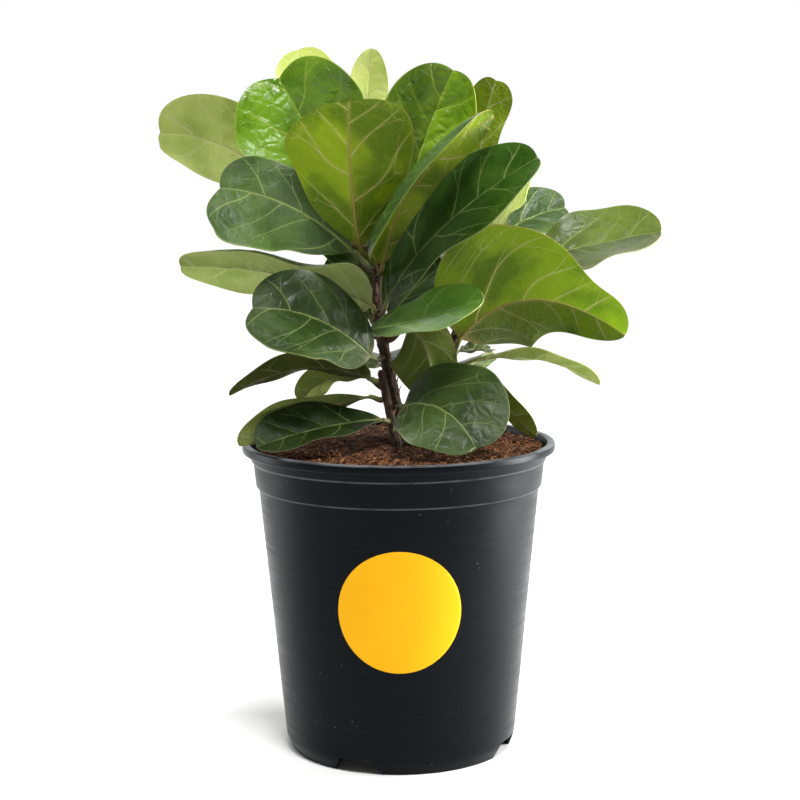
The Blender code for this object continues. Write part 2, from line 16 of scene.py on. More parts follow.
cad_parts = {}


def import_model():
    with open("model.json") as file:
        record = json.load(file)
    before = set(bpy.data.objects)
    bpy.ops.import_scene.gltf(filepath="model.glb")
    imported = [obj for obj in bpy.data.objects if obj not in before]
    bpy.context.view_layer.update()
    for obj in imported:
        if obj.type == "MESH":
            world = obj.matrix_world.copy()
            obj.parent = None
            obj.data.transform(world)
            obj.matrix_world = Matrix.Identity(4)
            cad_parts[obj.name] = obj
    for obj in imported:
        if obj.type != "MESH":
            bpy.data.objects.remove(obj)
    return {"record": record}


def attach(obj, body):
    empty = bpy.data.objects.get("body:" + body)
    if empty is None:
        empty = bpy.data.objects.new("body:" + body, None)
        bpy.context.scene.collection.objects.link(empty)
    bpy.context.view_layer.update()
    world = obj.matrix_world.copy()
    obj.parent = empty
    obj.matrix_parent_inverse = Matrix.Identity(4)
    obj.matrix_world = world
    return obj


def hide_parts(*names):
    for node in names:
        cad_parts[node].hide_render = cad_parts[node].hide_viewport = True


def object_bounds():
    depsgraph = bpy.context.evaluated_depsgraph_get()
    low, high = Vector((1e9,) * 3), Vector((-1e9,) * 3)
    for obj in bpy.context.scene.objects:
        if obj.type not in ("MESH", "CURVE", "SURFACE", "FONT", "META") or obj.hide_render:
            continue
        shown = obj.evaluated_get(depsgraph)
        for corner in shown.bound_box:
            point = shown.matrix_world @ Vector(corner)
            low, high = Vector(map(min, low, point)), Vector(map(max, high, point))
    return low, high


MM = 0.001

# The pot's axis lies to one side of the frame's origin.
POT_AXIS = (-10.0, 0.0)

RIM_RADIUS = 127.0
RIM_INNER_RADIUS = 121.0
RIM_TOP = 252.0
RIM_DROP = 7.0
COLLAR_RADIUS = 120.5
UPPER_STEP_TOP = 238.0
UPPER_STEP_RADIUS = 118.3
LOWER_STEP_TOP = 216.0
LOWER_STEP_RADIUS = 114.0
STEP_RISE = 1.2
CHAMFER_TOP = 10.0
CHAMFER_RADIUS = 94.2
FOOT_RADIUS = 90.0
FOOT_WIDTH = 3.5
WALL = 2.0
BASE_UNDERSIDE = 13.0
BASE_TOP = 16.0
POT_SEGMENTS = 192

NOTCH_ANGLES = (-22.0, 68.0, 158.0, 248.0)
NOTCH_HALF_WIDTH = 20.0
NOTCH_TOP_HALF_WIDTH = 14.0
NOTCH_HEIGHT = 12.0

LABEL_RADIUS = 49.2
LABEL_HEIGHT = 134.5
LABEL_GAP = 0.3
LABEL_THICKNESS = 0.4
LABEL_ROUNDING = 0.15

SOIL_EDGE = 246.5
SOIL_MOUND = 4.5
SOIL_BUMP = 1.1
SOIL_RINGS = 90
SOIL_SEGMENTS = 200
CHIP_COUNT = 6600
CHIP_SIDES = 4
CRUMB_COUNT = 4500
CRUMB_SIDES = 3
# Each ring of a chip, by its place along half the length and its share of the girth.
CHIP_ENDS = ((-1.0, 0.45), (0.05, 1.0), (1.0, 0.4))

BARK_SIDES = 48
BARK_STEP = 0.75
SHEATH_SPACING = 7.5
BUD_SCALES = 4


class Stem(NamedTuple):
    """A stem's axis, from the foot of its hole in the soil up, and its radius at each end."""

    route: tuple
    foot_radius: float
    top_radius: float


STEMS = {
    "stem_main": Stem(
        ((4, 2, 220), (3, 2, 249), (-1, 2, 274), (-6, 3, 300), (-11, 4, 325), (-16, 2, 350), (-17, 1, 375),
         (-14, 0, 398), (-10, 1, 420), (-7, 4, 440), (-4, 8, 462)),
        6.5, 2.6,
    ),
    "stem_side": Stem(
        ((0, -13, 222), (-1, -13, 249), (-6, -12, 272), (-9, -12, 287), (-12, -12, 300), (-14, -12, 312)),
        4.6, 3.2,
    ),
    "stem_right": Stem(
        ((33, 24, 222), (35, 24, 255), (38, 24, 285), (42, 24, 315), (49, 24, 342), (57, 24, 372),
         (63, 24, 395), (68, 24, 414)),
        5.5, 2.8,
    ),
}


class Leaf(NamedTuple):
    """A leaf by its midrib's base, middle and tip, its width and the way its upper face looks.

    left and right are each half's fold at the midrib, its cup across and the roll of its margin, in
    degrees towards the upper face. taper is how slowly the blade widens from its base. waist is how much
    of each half's width is missing at its narrow place, halves is each half's share of the width,
    notch is how far the two lobes at the tip reach past the midrib, and slant is how much further than
    that the right lobe reaches, and the left one falls short.
    """

    stem: str
    joins_at: float
    base: tuple
    middle: tuple
    tip: tuple
    width: float
    faces: tuple
    left: tuple = (10, 8, 0)
    right: tuple = (10, 8, 0)
    twist: float = 0.0
    wave: float = 2.0
    waves: float = 2.0
    phase: float = 0.0
    taper: float = 1.0
    widest: float = 0.62
    blunt: float = 2.4
    waist: tuple = (0.06, 0.06)
    waist_at: float = 0.38
    halves: tuple = (1.0, 1.0)
    notch: float = 3.0
    slant: float = 0.0
    tone: str = "old"


LEAVES = {
    "leaf_01": Leaf("stem_main", 408, (-62, 12, 427), (-127, 34, 484), (-193, 40, 502), 82,
                    (-0.3, 0.75, 0.6), taper=0.8, blunt=3.2, halves=(0.94, 1.12), waist=(0.06, 0.14),
                    notch=4, slant=4, tone="under"),
    "leaf_02": Leaf("stem_main", 422, (-36, 2, 437), (-67, 6, 496), (-94, 18, 544), 106,
                    (-0.3, -0.75, 0.6), taper=0.75, wave=3.5, waves=2.5, halves=(1.06, 1.0), notch=8,
                    tone="bright"),
    "leaf_03": Leaf("stem_main", 390, (-36, -8, 407), (-86, -29, 444), (-137, -46, 458), 80,
                    (-0.15, -0.8, 0.55), left=(2, 8, 0), right=(8, 8, 0), taper=0.8, wave=3,
                    widest=0.7, blunt=3.0, halves=(1.34, 0.8), waist=(0.2, 0.1), notch=6, slant=-16),
    "leaf_04": Leaf("stem_main", 400, (-30, -22, 412), (-36, -50, 475), (-36, -56, 524), 104,
                    (0.05, 0.95, 0.3), taper=0.7, notch=2, slant=-9, tone="glow"),
    "leaf_05": Leaf("stem_main", 440, (-50, 25, 471), (-68, 44, 527), (-80, 56, 568), 52,
                    (-0.2, -0.7, 0.6), notch=1, tone="young"),
    "leaf_06": Leaf("stem_main", 454, (-22, 36, 470), (-24, 52, 519), (-19, 62, 569), 34,
                    (0.1, -0.8, 0.5), blunt=2.0, notch=0, tone="young"),
    "leaf_07": Leaf("stem_main", 432, (10, 7, 446), (21, 22, 489), (46, 28, 550), 86,
                    (0.2, -0.8, 0.5), right=(14, 20, 60), wave=3, tone="bright"),
    "leaf_08": Leaf("stem_main", 388, (-11, -20, 398), (16, -47, 462), (76, -32, 512), 62,
                    (-0.55, 0.65, 0.5), left=(-20, -15, 0), right=(-5, -20, -100), taper=0.5,
                    halves=(0.5, 1.0), waist=(0.0, -1.0), waist_at=0.16, notch=0, tone="glow"),
    "leaf_09": Leaf("stem_main", 356, (-8, -14, 367), (36, -38, 426), (109, -48, 480), 84,
                    (-0.45, -0.6, 0.6), taper=0.7, wave=3),
    "leaf_10": Leaf("stem_right", 326, (51, 10, 334), (109, 0, 366), (182, -14, 338), 124,
                    (-0.1, 0.85, 0.5), left=(12, 8, 0), taper=0.5, widest=0.36, blunt=0.85, wave=3,
                    waist=(0.16, 0.34), waist_at=0.8, halves=(1.0, 1.15), notch=0, tone="glow"),
    "leaf_11": Leaf("stem_main", 337, (-23, -15, 344), (21, -36, 355), (67, -52, 371), 52,
                    (-0.1, -0.58, 0.8), taper=0.7, wave=1.5, notch=1),
    "leaf_12": Leaf("stem_right", 392, (78, 58, 405), (106, 84, 425), (143, 98, 436), 54,
                    (-0.2, -0.8, 0.5)),
    "leaf_13": Leaf("stem_right", 378, (84, 30, 391), (142, 34, 404), (215, 22, 419), 84,
                    (0.05, -0.5, 0.85), left=(8, 10, 0), right=(8, 10, 0), taper=1.1, wave=3.5, waves=2.5,
                    waist=(0.3, 0.28), waist_at=0.36, notch=2),
    "leaf_14": Leaf("stem_right", 402, (78, 22, 418), (91, 20, 438), (106, 20, 459), 28,
                    (-0.6, -0.5, 0.5), tone="young"),
    "leaf_15": Leaf("stem_right", 411, (66, 40, 440), (71, 46, 500), (82, 48, 542), 38,
                    (0.3, 0.9, 0.3), waist=(0.12, 0.12), waist_at=0.5, widest=0.75, notch=2, tone="young"),
    "leaf_16": Leaf("stem_main", 358, (-21, -8, 363), (-94, -2, 388), (-174, 0, 395), 72,
                    (0.0, 0.65, 0.7), left=(0, -10, -60), right=(5, 5, 0), taper=0.35, waist=(-1.1, 0.0),
                    waist_at=0.12, tone="under"),
    "leaf_17": Leaf("stem_main", 320, (-22, -22, 324), (-64, -46, 356), (-112, -62, 366), 78,
                    (-0.15, -0.75, 0.6), taper=0.55, wave=2.5, halves=(1.3, 0.96), waist=(0.24, 0.06),
                    notch=5, slant=-12),
    "leaf_18": Leaf("stem_side", 302, (-22, -15, 305), (-78, -18, 314), (-135, -22, 293), 46,
                    (0.0, 0.5, 0.85), taper=0.45, widest=0.4, blunt=1.05, notch=0, tone="under"),
    "leaf_19": Leaf("stem_main", 294, (-26, 12, 302), (-58, 18, 300), (-80, 22, 281), 32,
                    (0.0, 0.6, 0.7), notch=0, tone="under"),
    "leaf_20": Leaf("stem_side", 270, (-13, -21, 272), (-60, -56, 271), (-109, -80, 260), 56,
                    (-0.1, -0.55, 0.8), taper=0.7, halves=(0.76, 1.04), notch=1),
    "leaf_21": Leaf("stem_side", 287, (-24, -16, 290), (-80, -36, 278), (-126, -56, 259), 36,
                    (-0.2, 0.75, 0.6), notch=0, tone="under"),
    "leaf_22": Leaf("stem_main", 281, (5, -20, 283), (36, -56, 284), (60, -82, 258), 97,
                    (0.05, -0.8, 0.6), taper=0.55, widest=0.5, wave=3, notch=4),
    "leaf_23": Leaf("stem_main", 334, (9, -5, 345), (24, -13, 323), (26, -18, 286), 56,
                    (0.0, 0.95, 0.1), taper=0.6, widest=0.4, blunt=1.6, halves=(1.25, 0.9), notch=0,
                    tone="under"),
    "leaf_24": Leaf("stem_right", 318, (50, 34, 321), (64, 44, 321), (77, 52, 320), 24,
                    (0.0, -0.3, 0.9)),
    "leaf_25": Leaf("stem_right", 306, (54, 20, 312), (112, 12, 317), (164, 4, 296), 30,
                    (0.0, 0.4, 0.9), notch=0, tone="under"),
    "leaf_26": Leaf("stem_right", 294, (56, 22, 304), (76, 26, 287), (113, 14, 252), 30,
                    (0.6, 0.7, 0.5), notch=0, tone="under"),
    "leaf_27": Leaf("stem_main", 342, (-7, 16, 350), (18, 40, 376), (50, 60, 398), 66,
                    (-0.2, -0.6, 0.75)),
    "leaf_28": Leaf("stem_right", 384, (52, 14, 392), (40, 0, 415), (24, -8, 440), 42,
                    (0.3, -0.8, 0.5)),
    "leaf_29": Leaf("stem_main", 386, (-20, 14, 391), (-38, 34, 410), (-60, 48, 434), 54,
                    (0.0, -0.85, 0.4), taper=0.6, wave=2),
    "leaf_30": Leaf("stem_main", 346, (-22, 15, 350), (-36, 34, 370), (-62, 50, 388), 66,
                    (0.0, -0.85, 0.4), taper=0.5, wave=2),
    "leaf_31": Leaf("stem_right", 352, (54, 38, 358), (72, 78, 372), (86, 114, 366), 78,
                    (0.0, -0.3, 0.95), taper=0.8, wave=3),
    "leaf_32": Leaf("stem_right", 292, (42, 38, 300), (52, 80, 306), (58, 118, 290), 62,
                    (0.0, 0.2, 0.95), taper=0.8),
    "leaf_33": Leaf("stem_main", 300, (-6, 14, 306), (-10, 55, 316), (-20, 96, 300), 66,
                    (-0.1, 0.2, 0.95), taper=0.8),
    "leaf_34": Leaf("stem_main", 446, (2, 30, 462), (20, 62, 502), (32, 82, 536), 60,
                    (0.1, -0.85, 0.4), tone="bright"),
}

BLADE_ROWS = 75
PETIOLE_ROWS = 14
BLADE_COLUMNS = 24
SECTION_STEPS = 96
BLADE_THICKNESS = 0.8
RIB_DEPTH = 0.5
RIB_HALF_WIDTH = 3.0
PETIOLE_RADIUS = 1.9
PETIOLE_FLARE = 0.7
SEAT_GAP = 0.5
TIP_FRACTION = 0.05
WAIST_REACH = 0.15
LATERAL_SPACING = 31.0
VEIN_HALF_WIDTH = 0.60

# How far each tone's blades swell and pucker, and the height of the small domes between their veins.
QUILT = {"old": 1.0, "bright": 1.6, "glow": 0.7, "under": 0.8, "young": 0.5}
DOMES = {"old": 0.30, "bright": 0.80, "glow": 0.35, "under": 0.40, "young": 0.25}

# How bright a leaf is beside others of its tone, and its share of red and of blue: partly the leaf's own
# colour, partly painted shade on leaves that lie in shade and painted sheen on leaves that catch light.
PLAIN_TINT_AND_LIGHT = (1.0, 1.0, 1.0)
TINTS_AND_PAINTED_LIGHT = {
    "leaf_01": (1.10, 1.05, 1.0), "leaf_02": (1.20, 1.08, 0.9), "leaf_03": (1.10, 1.10, 1.2),
    "leaf_04": (1.15, 0.95, 0.6), "leaf_05": (1.40, 1.02, 1.0), "leaf_07": (1.15, 1.18, 0.8),
    "leaf_08": (0.90, 0.95, 0.8), "leaf_09": (0.42, 0.85, 0.7), "leaf_10": (0.95, 0.90, 0.6),
    "leaf_11": (1.70, 1.10, 1.3), "leaf_13": (1.15, 1.45, 0.8), "leaf_15": (0.34, 0.78, 0.05),
    "leaf_17": (0.50, 1.00, 0.7), "leaf_18": (0.17, 1.00, 0.6), "leaf_19": (0.75, 1.00, 1.0),
    "leaf_20": (0.26, 0.95, 0.8), "leaf_21": (0.55, 1.00, 0.9), "leaf_22": (0.60, 1.05, 0.8),
    "leaf_23": (0.35, 0.95, 0.6), "leaf_24": (0.70, 1.30, 0.8), "leaf_26": (0.50, 1.00, 0.7),
    "leaf_27": (0.35, 0.80, 0.5), "leaf_28": (0.70, 1.20, 0.7), "leaf_29": (0.60, 1.00, 0.5),
    "leaf_30": (0.60, 1.00, 0.5), "leaf_33": (0.60, 1.00, 1.0),
}

# Painted shade: how bright each half of a blade is painted beside the whole, darker on the half that the
# light misses, the left one first, as seen on the upper face.
PAINTED_HALF_SHADE = {
    "leaf_02": (1.15, 0.92), "leaf_03": (1.05, 0.95), "leaf_04": (0.92, 1.12), "leaf_07": (0.75, 1.15),
    "leaf_10": (0.45, 1.00), "leaf_13": (1.20, 0.75), "leaf_16": (0.80, 1.10), "leaf_17": (1.10, 0.90),
    "leaf_22": (0.90, 1.15),
}

# Painted light: how bright a blade is painted at its base and at its tip beside its middle, darker at the
# base as painted shade near the stem, and lighter at some tips as a painted sheen.
PLAIN_PAINTED_ENDS = (0.62, 1.0)
PAINTED_END_LIGHT = {
    "leaf_04": (0.85, 0.85), "leaf_09": (0.90, 2.10), "leaf_10": (0.75, 1.50), "leaf_13": (0.55, 1.05),
    "leaf_17": (0.80, 1.05), "leaf_22": (0.75, 1.00),
}

# Leaves deep in the plant, duller than the rest.
DULL_LEAVES = ("leaf_09", "leaf_18", "leaf_20", "leaf_23", "leaf_27", "leaf_29", "leaf_30")

# Stems that still grow.
BUDDED_STEMS = ("stem_main", "stem_right")


class Tone(NamedTuple):
    """A leaf's colours: upper face, under face, their veins, and the light that comes through."""

    upper: tuple
    deep: tuple
    vein: tuple
    under: tuple
    under_deep: tuple
    under_vein: tuple
    rib: tuple
    through: tuple
    gloss: float


TONES = {
    "old": Tone((0.052, 0.112, 0.010), (0.020, 0.056, 0.004), (0.30, 0.39, 0.12),
                (0.24, 0.32, 0.09), (0.13, 0.20, 0.04), (0.42, 0.48, 0.20), (0.34, 0.34, 0.14),
                (0.22, 0.42, 0.01), 0.42),
    "bright": Tone((0.125, 0.270, 0.006), (0.050, 0.130, 0.002), (0.36, 0.50, 0.07),
                   (0.26, 0.36, 0.08), (0.15, 0.24, 0.03), (0.45, 0.52, 0.18), (0.38, 0.36, 0.12),
                   (0.32, 0.52, 0.01), 0.28),
    # The glow tone's under face is painted backlit olive, a painted glow on top of the light that comes
    # through.
    "glow": Tone((0.065, 0.150, 0.012), (0.028, 0.080, 0.005), (0.28, 0.40, 0.07),
                 (0.250, 0.350, 0.006), (0.085, 0.150, 0.002), (0.62, 0.54, 0.20), (0.40, 0.27, 0.08),
                 (0.40, 0.56, 0.004), 0.42),
    "under": Tone((0.080, 0.165, 0.030), (0.032, 0.085, 0.012), (0.28, 0.38, 0.10),
                  (0.43, 0.52, 0.14), (0.27, 0.36, 0.07), (0.62, 0.66, 0.30), (0.44, 0.42, 0.16),
                  (0.44, 0.56, 0.03), 0.45),
    "young": Tone((0.60, 0.68, 0.20), (0.46, 0.56, 0.12), (0.74, 0.79, 0.34),
                  (0.64, 0.70, 0.24), (0.50, 0.59, 0.15), (0.76, 0.79, 0.38), (0.68, 0.68, 0.26),
                  (0.60, 0.66, 0.20), 0.42),
}

# The camera's lens and sensor, its place and how it is turned, in degrees.
LENS = 85.0
SENSOR_WIDTH = 36.0
CAMERA_PLACE = (1.4, -1520.1, 492.4)
CAMERA_PITCH = 7.765
CAMERA_ROLL = -0.41

# The key light, and each soft light's place, size, power in watts and aim, in metres in the frame.
KEY_POWER = 3.4
KEY_ANGLE = 18.0
KEY_FROM = (0.10, -0.45, 1.0)
SOFTBOXES = {
    "light_left": ((-1.0, 0.30, 0.34), (0.35, 0.66), 4.5, (0.0, 0.0, 0.12)),
    "light_right": ((1.05, 0.06, 0.34), (0.5, 0.66), 34.0, (0.0, 0.0, 0.12)),
    "light_back": ((0.3, 1.7, 1.7), (2.0, 1.0), 18.0, (0.0, 0.0, 0.45)),
}

# How bright the sky is in front of the plant and behind it.
SKY_FRONT = 0.22
SKY_BACK = 1.0
FLOOR_REACH = 12.0


def at_pot_axis(points):
    """Points in metres in the frame, from points in millimetres from the pot's axis."""
    return (np.asarray(points, float) + (*POT_AXIS, 0.0)) * MM


def add_object(name, points, faces, materials, sharp=40.0):
    """A mesh object from points in millimetres, shaded smooth except at its sharp edges."""
    mesh = bpy.data.meshes.new(name)
    mesh.from_pydata(at_pot_axis(points).tolist(), [], faces)
    mesh.update()
    mesh.shade_smooth()
    mesh.set_sharp_from_angle(angle=math.radians(sharp))
    for material in materials:
        mesh.materials.append(material)
    obj = bpy.data.objects.new(name, mesh)
    bpy.context.scene.collection.objects.link(obj)
    return obj


def stand_in(obj, node, shown_for=True):
    """The piece rides on the plant's one body and, where asked, is shown in place of a CAD node, which is
    hidden.
    """
    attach(obj, "root")
    if shown_for:
        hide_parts(node)
    return obj


def ring_faces(rings, sides, first=0, turned=False):
    """The faces between rings of points that follow each other, turned over where asked."""
    faces = []
    for a in range(first, first + (rings - 1) * sides):
        b = a + 1 if (a - first + 1) % sides else a + 1 - sides
        faces.append((a, a + sides, b + sides, b) if turned else (a, b, b + sides, a + sides))
    return faces


def end_faces(rings, sides, first=0, turned=False):
    """The faces that close the first and the last ring."""
    last = first + (rings - 1) * sides
    ends = range(first, first + sides), range(last, last + sides)
    return [tuple(ends[0]), tuple(ends[1])[::-1]] if turned else [tuple(ends[0])[::-1], tuple(ends[1])]


def set_uv(obj, name, first, second):
    """A UV layer from two numbers for each corner of each face."""
    layer = obj.data.uv_layers.new(name=name)
    layer.data.foreach_set("uv", np.stack([first, second], axis=1).astype(np.float32).ravel())


def unit(v):
    return v / np.linalg.norm(v, axis=-1, keepdims=True)


class Nodes:
    """The shader nodes of one material, added by short calls that return their output sockets."""

    def __init__(self, name):
        self.material = bpy.data.materials.new(name)
        self.material.use_nodes = True
        self.tree = self.material.node_tree
        self.shader = self.tree.nodes["Principled BSDF"]
        self.output = self.tree.nodes["Material Output"]

    def add(self, kind, *links, **settings):
        """A node with its settings, and its inputs filled in order with sockets or values."""
        node = self.tree.nodes.new("ShaderNode" + kind)
        for key, value in settings.items():
            setattr(node, key, value)
        for k, value in enumerate(links):
            self.put(node.inputs[k], value)
        return node

    def put(self, socket, value):
        if isinstance(value, bpy.types.NodeSocket):
            self.tree.links.new(value, socket)
        elif value is not None:
            if isinstance(value, tuple) and len(value) == 3 and socket.type == "RGBA":
                value = (*value, 1.0)
            socket.default_value = value

    def math(self, operation, *values):
        return self.add("Math", *values, operation=operation).outputs[0]

    def fill(self, kind, output, inputs, **settings):
        """One output of a node whose named inputs are filled in."""
        node = self.add(kind, **settings)
        for key, value in inputs.items():
            self.put(node.inputs[key], value)
        return node.outputs[output]

    def clamp_range(self, value, low, high, to_low=0.0, to_high=1.0):
        """A smooth step from to_low to to_high while the value goes from low to high."""
        inputs = {"Value": value, "From Min": low, "From Max": high, "To Min": to_low, "To Max": to_high}
        return self.fill("MapRange", "Result", inputs, interpolation_type="SMOOTHSTEP")

    def mix(self, factor, first, second, blend="MIX"):
        return self.fill("Mix", 2, {0: factor, 6: first, 7: second}, data_type="RGBA", blend_type=blend)

    def blend(self, value, low, high, first, second, most=1.0):
        """The first colour, turning into the second while the value goes from low to high."""
        return self.mix(self.clamp_range(value, low, high, 0.0, most), first, second)

    def cover(self, under, mask, share, over):
        """A colour with another over it where the mask is, at a share of the mask's strength."""
        return self.mix(self.math("MULTIPLY", mask, share), under, over)

    def uv(self, name):
        """The two numbers of a UV layer."""
        node = self.add("UVMap", uv_map=name)
        split = self.add("SeparateXYZ", node.outputs[0])
        return split.outputs[0], split.outputs[1]

    def place(self):
        """The point on the piece, in metres in the frame."""
        return self.add("TexCoord").outputs["Object"]

    def stretched(self, vector, scale):
        return self.add("VectorMath", vector, scale, operation="MULTIPLY").outputs[0]

    def noise(self, vector, scale, detail=3.0, roughness=0.5):
        inputs = {"Vector": vector, "Scale": scale, "Detail": detail, "Roughness": roughness}
        return self.fill("TexNoise", "Fac", inputs)

    def cells(self, vector, scale, feature="DISTANCE_TO_EDGE"):
        return self.fill("TexVoronoi", "Distance", {"Vector": vector, "Scale": scale}, feature=feature)

    def bump(self, height, distance, strength):
        return self.fill("Bump", "Normal", {"Height": height, "Distance": distance, "Strength": strength})

    def finish(self, colour, roughness, normal=None, **constants):
        self.put(self.shader.inputs["Base Color"], colour)
        self.put(self.shader.inputs["Roughness"], roughness)
        self.put(self.shader.inputs["Normal"], normal)
        for key, value in constants.items():
            self.shader.inputs[key.replace("_", " ")].default_value = value
        return self.material

    def let_light_through(self, amount, colour, normal):
        """Mixes in light that comes from behind a thin blade."""
        through = self.add("BsdfTranslucent", colour)
        self.put(through.inputs["Normal"], normal)
        both = self.add("MixShader", amount, self.shader.outputs[0], through.outputs[0])
        self.tree.links.new(both.outputs[0], self.output.inputs["Surface"])


def vein_masks(n):
    """Masks for the midrib, the side veins, the loops and fine net between them, and the thin margin."""
    along, across = n.uv("blade")
    order, half = n.uv("veins")
    reach, stalk = n.uv("rim")
    far = n.math("ABSOLUTE", across)
    rib_half = n.math("MAXIMUM", n.math("MULTIPLY_ADD", along, -0.0075, 0.0135), 0.0035)
    rib = n.clamp_range(n.math("DIVIDE", far, rib_half), 0.6, 1.25, 1.0, 0.0)
    halo = n.clamp_range(n.math("DIVIDE", far, rib_half), 0.8, 5.0, 1.0, 0.0)
    signed = n.math("SUBTRACT", n.math("FRACT", n.math("ADD", order, 0.5)), 0.5)
    offset = n.math("ABSOLUTE", signed)
    share = n.math("DIVIDE", offset, half)
    side = n.clamp_range(share, 0.55, 1.3, 1.0, 0.0)
    fork_at = n.clamp_range(reach, 0.34, 1.05, 0.0, -0.44)
    from_fork = n.math("ABSOLUTE", n.math("SUBTRACT", signed, fork_at))
    fork = n.clamp_range(n.math("DIVIDE", from_fork, half), 0.35, 1.0, 0.8, 0.0)
    side = n.math("MAXIMUM", side, fork)
    side = n.math("MULTIPLY", side, n.clamp_range(reach, 0.80, 0.97, 1.0, 0.1))
    side_halo = n.clamp_range(share, 0.8, 6.0, 1.0, 0.0)
    between = n.math("MULTIPLY", offset, offset)
    loop_at = n.math("MULTIPLY_ADD", between, 0.62, 0.74)
    from_loop = n.math("ABSOLUTE", n.math("SUBTRACT", reach, loop_at))
    loop = n.clamp_range(from_loop, 0.003, 0.011, 0.45, 0.0)
    flat = n.add("CombineXYZ", along, across, 0.0).outputs[0]
    bent = n.add("VectorMath", flat, n.stretched(n.add("TexNoise", flat, None, 12.0).outputs["Color"],
                                                 (0.05, 0.05, 0.0)), operation="ADD").outputs[0]
    net = n.clamp_range(n.cells(bent, 11.0), 0.0, 0.06, 1.0, 0.0)
    dome = n.clamp_range(n.cells(bent, 11.0), 0.0, 0.34)
    fine = n.clamp_range(n.cells(bent, 38.0), 0.0, 0.14, 1.0, 0.0)
    margin = n.clamp_range(reach, 0.976, 0.992, 0.0, 1.0)
    # The leaf's tint, with its painted shade and painted light, read from two UV layers.
    red, green = n.uv("tint_and_painted_light")
    blue = n.uv("tint_and_painted_light_blue")[0]
    return {
        "along": along, "rib": rib, "side": n.math("MAXIMUM", side, loop), "net": net, "fine": fine,
        "dome": n.math("MULTIPLY", dome, n.clamp_range(reach, 0.75, 1.0, 1.0, 0.0)),
        "margin": margin, "stalk": stalk, "halo": n.math("MAXIMUM", halo, side_halo),
        "tint_and_painted_light": n.add("CombineXYZ", red, green, blue).outputs[0], "bright": green,
    }


def shaded(n, m, colour):
    """A vein's colour, which follows the leaf's tint and painted shade part of the way."""
    grey = n.clamp_range(m["bright"], 0.0, 1.2, 0.35, 1.1)
    return n.mix(1.0, colour, n.add("CombineXYZ", grey, grey, grey).outputs[0], "MULTIPLY")


def stalk_colour(n, m, tone):
    """Green beside the blade and brown towards the stem."""
    fibre = n.noise(n.place(), 300.0, 3.0, 0.6)
    brown = n.mix(fibre, (0.030, 0.018, 0.008), (0.105, 0.062, 0.026))
    return n.blend(m["along"], -0.15, 0.0, brown, n.mix(0.55, tone.rib, (0.05, 0.07, 0.01)))


def draw_veins(n, m, tone, face, side_share, side_colour, rib_colour):
    """The leaf's tint and painted shade, and over it the side veins, the midrib, the margin and the stalk.
    """
    rib = shaded(n, m, rib_colour)
    face = n.mix(1.0, face, m["tint_and_painted_light"], "MULTIPLY")
    face = n.cover(face, m["side"], side_share, shaded(n, m, side_colour))
    face = n.cover(face, m["rib"], 0.85, rib)
    face = n.cover(face, m["margin"], 0.6, rib)
    return n.mix(m["stalk"], face, stalk_colour(n, m, tone))


def finish_leaf(n, m, tone, face, rough, speckle, weights, strength, shine, glow):
    """The relief of the domes, veins, midrib, net and fine net by their weights, and the blade's glow."""
    height = n.math("MULTIPLY", speckle, 0.10)
    for key, weight in zip(("dome", "side", "rib", "net", "fine"), weights):
        height = n.math("MULTIPLY_ADD", m[key], weight, height)
    normal = n.bump(height, 0.0010, strength)
    n.finish(face, rough, normal, Specular_IOR_Level=shine)
    # The light through the blade is also darkened and lightened by the leaf's painted shade and light.
    n.let_light_through(glow, n.mix(1.0, tone.through, m["tint_and_painted_light"], "MULTIPLY"), normal)
    return n.material


def make_upper_material(name, tone, dome, shine=0.5):
    n = Nodes("leaf_upper_" + name)
    m = vein_masks(n)
    place = n.place()
    speckle = n.noise(place, 260.0, 4.0, 0.6)
    green = n.blend(n.noise(place, 30.0, 2.0), 0.36, 0.62, tone.deep, tone.upper)
    green = n.cover(green, m["halo"], 0.22, n.mix(0.35, tone.upper, tone.vein))
    green = n.blend(speckle, 0.35, 0.75, green, tone.upper, 0.22)
    green = n.cover(green, m["net"], 0.08, tone.vein)
    green = n.cover(green, m["fine"], 0.05, tone.vein)
    # Grey patches at random: partly a dust film, partly painted sheen.
    green = n.blend(n.noise(place, 14.0, 2.0), 0.42, 0.75, green, (0.30, 0.36, 0.27), 0.10)
    green = draw_veins(n, m, tone, green, 0.72, tone.vein, tone.vein)
    wear_and_highlight = n.noise(place, 30.0, 3.0, 0.6)
    rough = n.clamp_range(wear_and_highlight, 0.3, 0.75, tone.gloss - 0.06, tone.gloss + 0.14)
    sunken = (dome, -0.7, -1.0, -0.08, -0.05)
    return finish_leaf(n, m, tone, green, rough, speckle, sunken, 0.7, shine, 0.22)


def make_under_material(name, tone):
    n = Nodes("leaf_under_" + name)
    m = vein_masks(n)
    place = n.place()
    speckle = n.noise(place, 300.0, 4.0, 0.6)
    pale = n.blend(n.noise(place, 24.0, 2.0), 0.38, 0.60, tone.under_deep, tone.under)
    pale = n.cover(pale, m["halo"], 0.18, tone.under_vein)
    pale = n.blend(speckle, 0.35, 0.75, pale, tone.under, 0.20)
    pale = n.cover(pale, m["net"], 0.10, tone.under_vein)
    pale = n.cover(pale, m["fine"], 0.07, tone.under_vein)
    spots = n.math("MULTIPLY", n.clamp_range(n.cells(place, 420.0, "F1"), 0.16, 0.30, 1.0, 0.0),
                   n.clamp_range(n.noise(place, 55.0, 2.0), 0.64, 0.70))
    pale = n.cover(pale, spots, 0.7, (0.10, 0.055, 0.012))
    pale = draw_veins(n, m, tone, pale, 0.70, tone.under_vein, tone.rib)
    raised = (-0.25, 1.0, 1.2, 0.20, 0.12)
    return finish_leaf(n, m, tone, pale, 0.55, speckle, raised, 0.8, 0.2, 0.30)


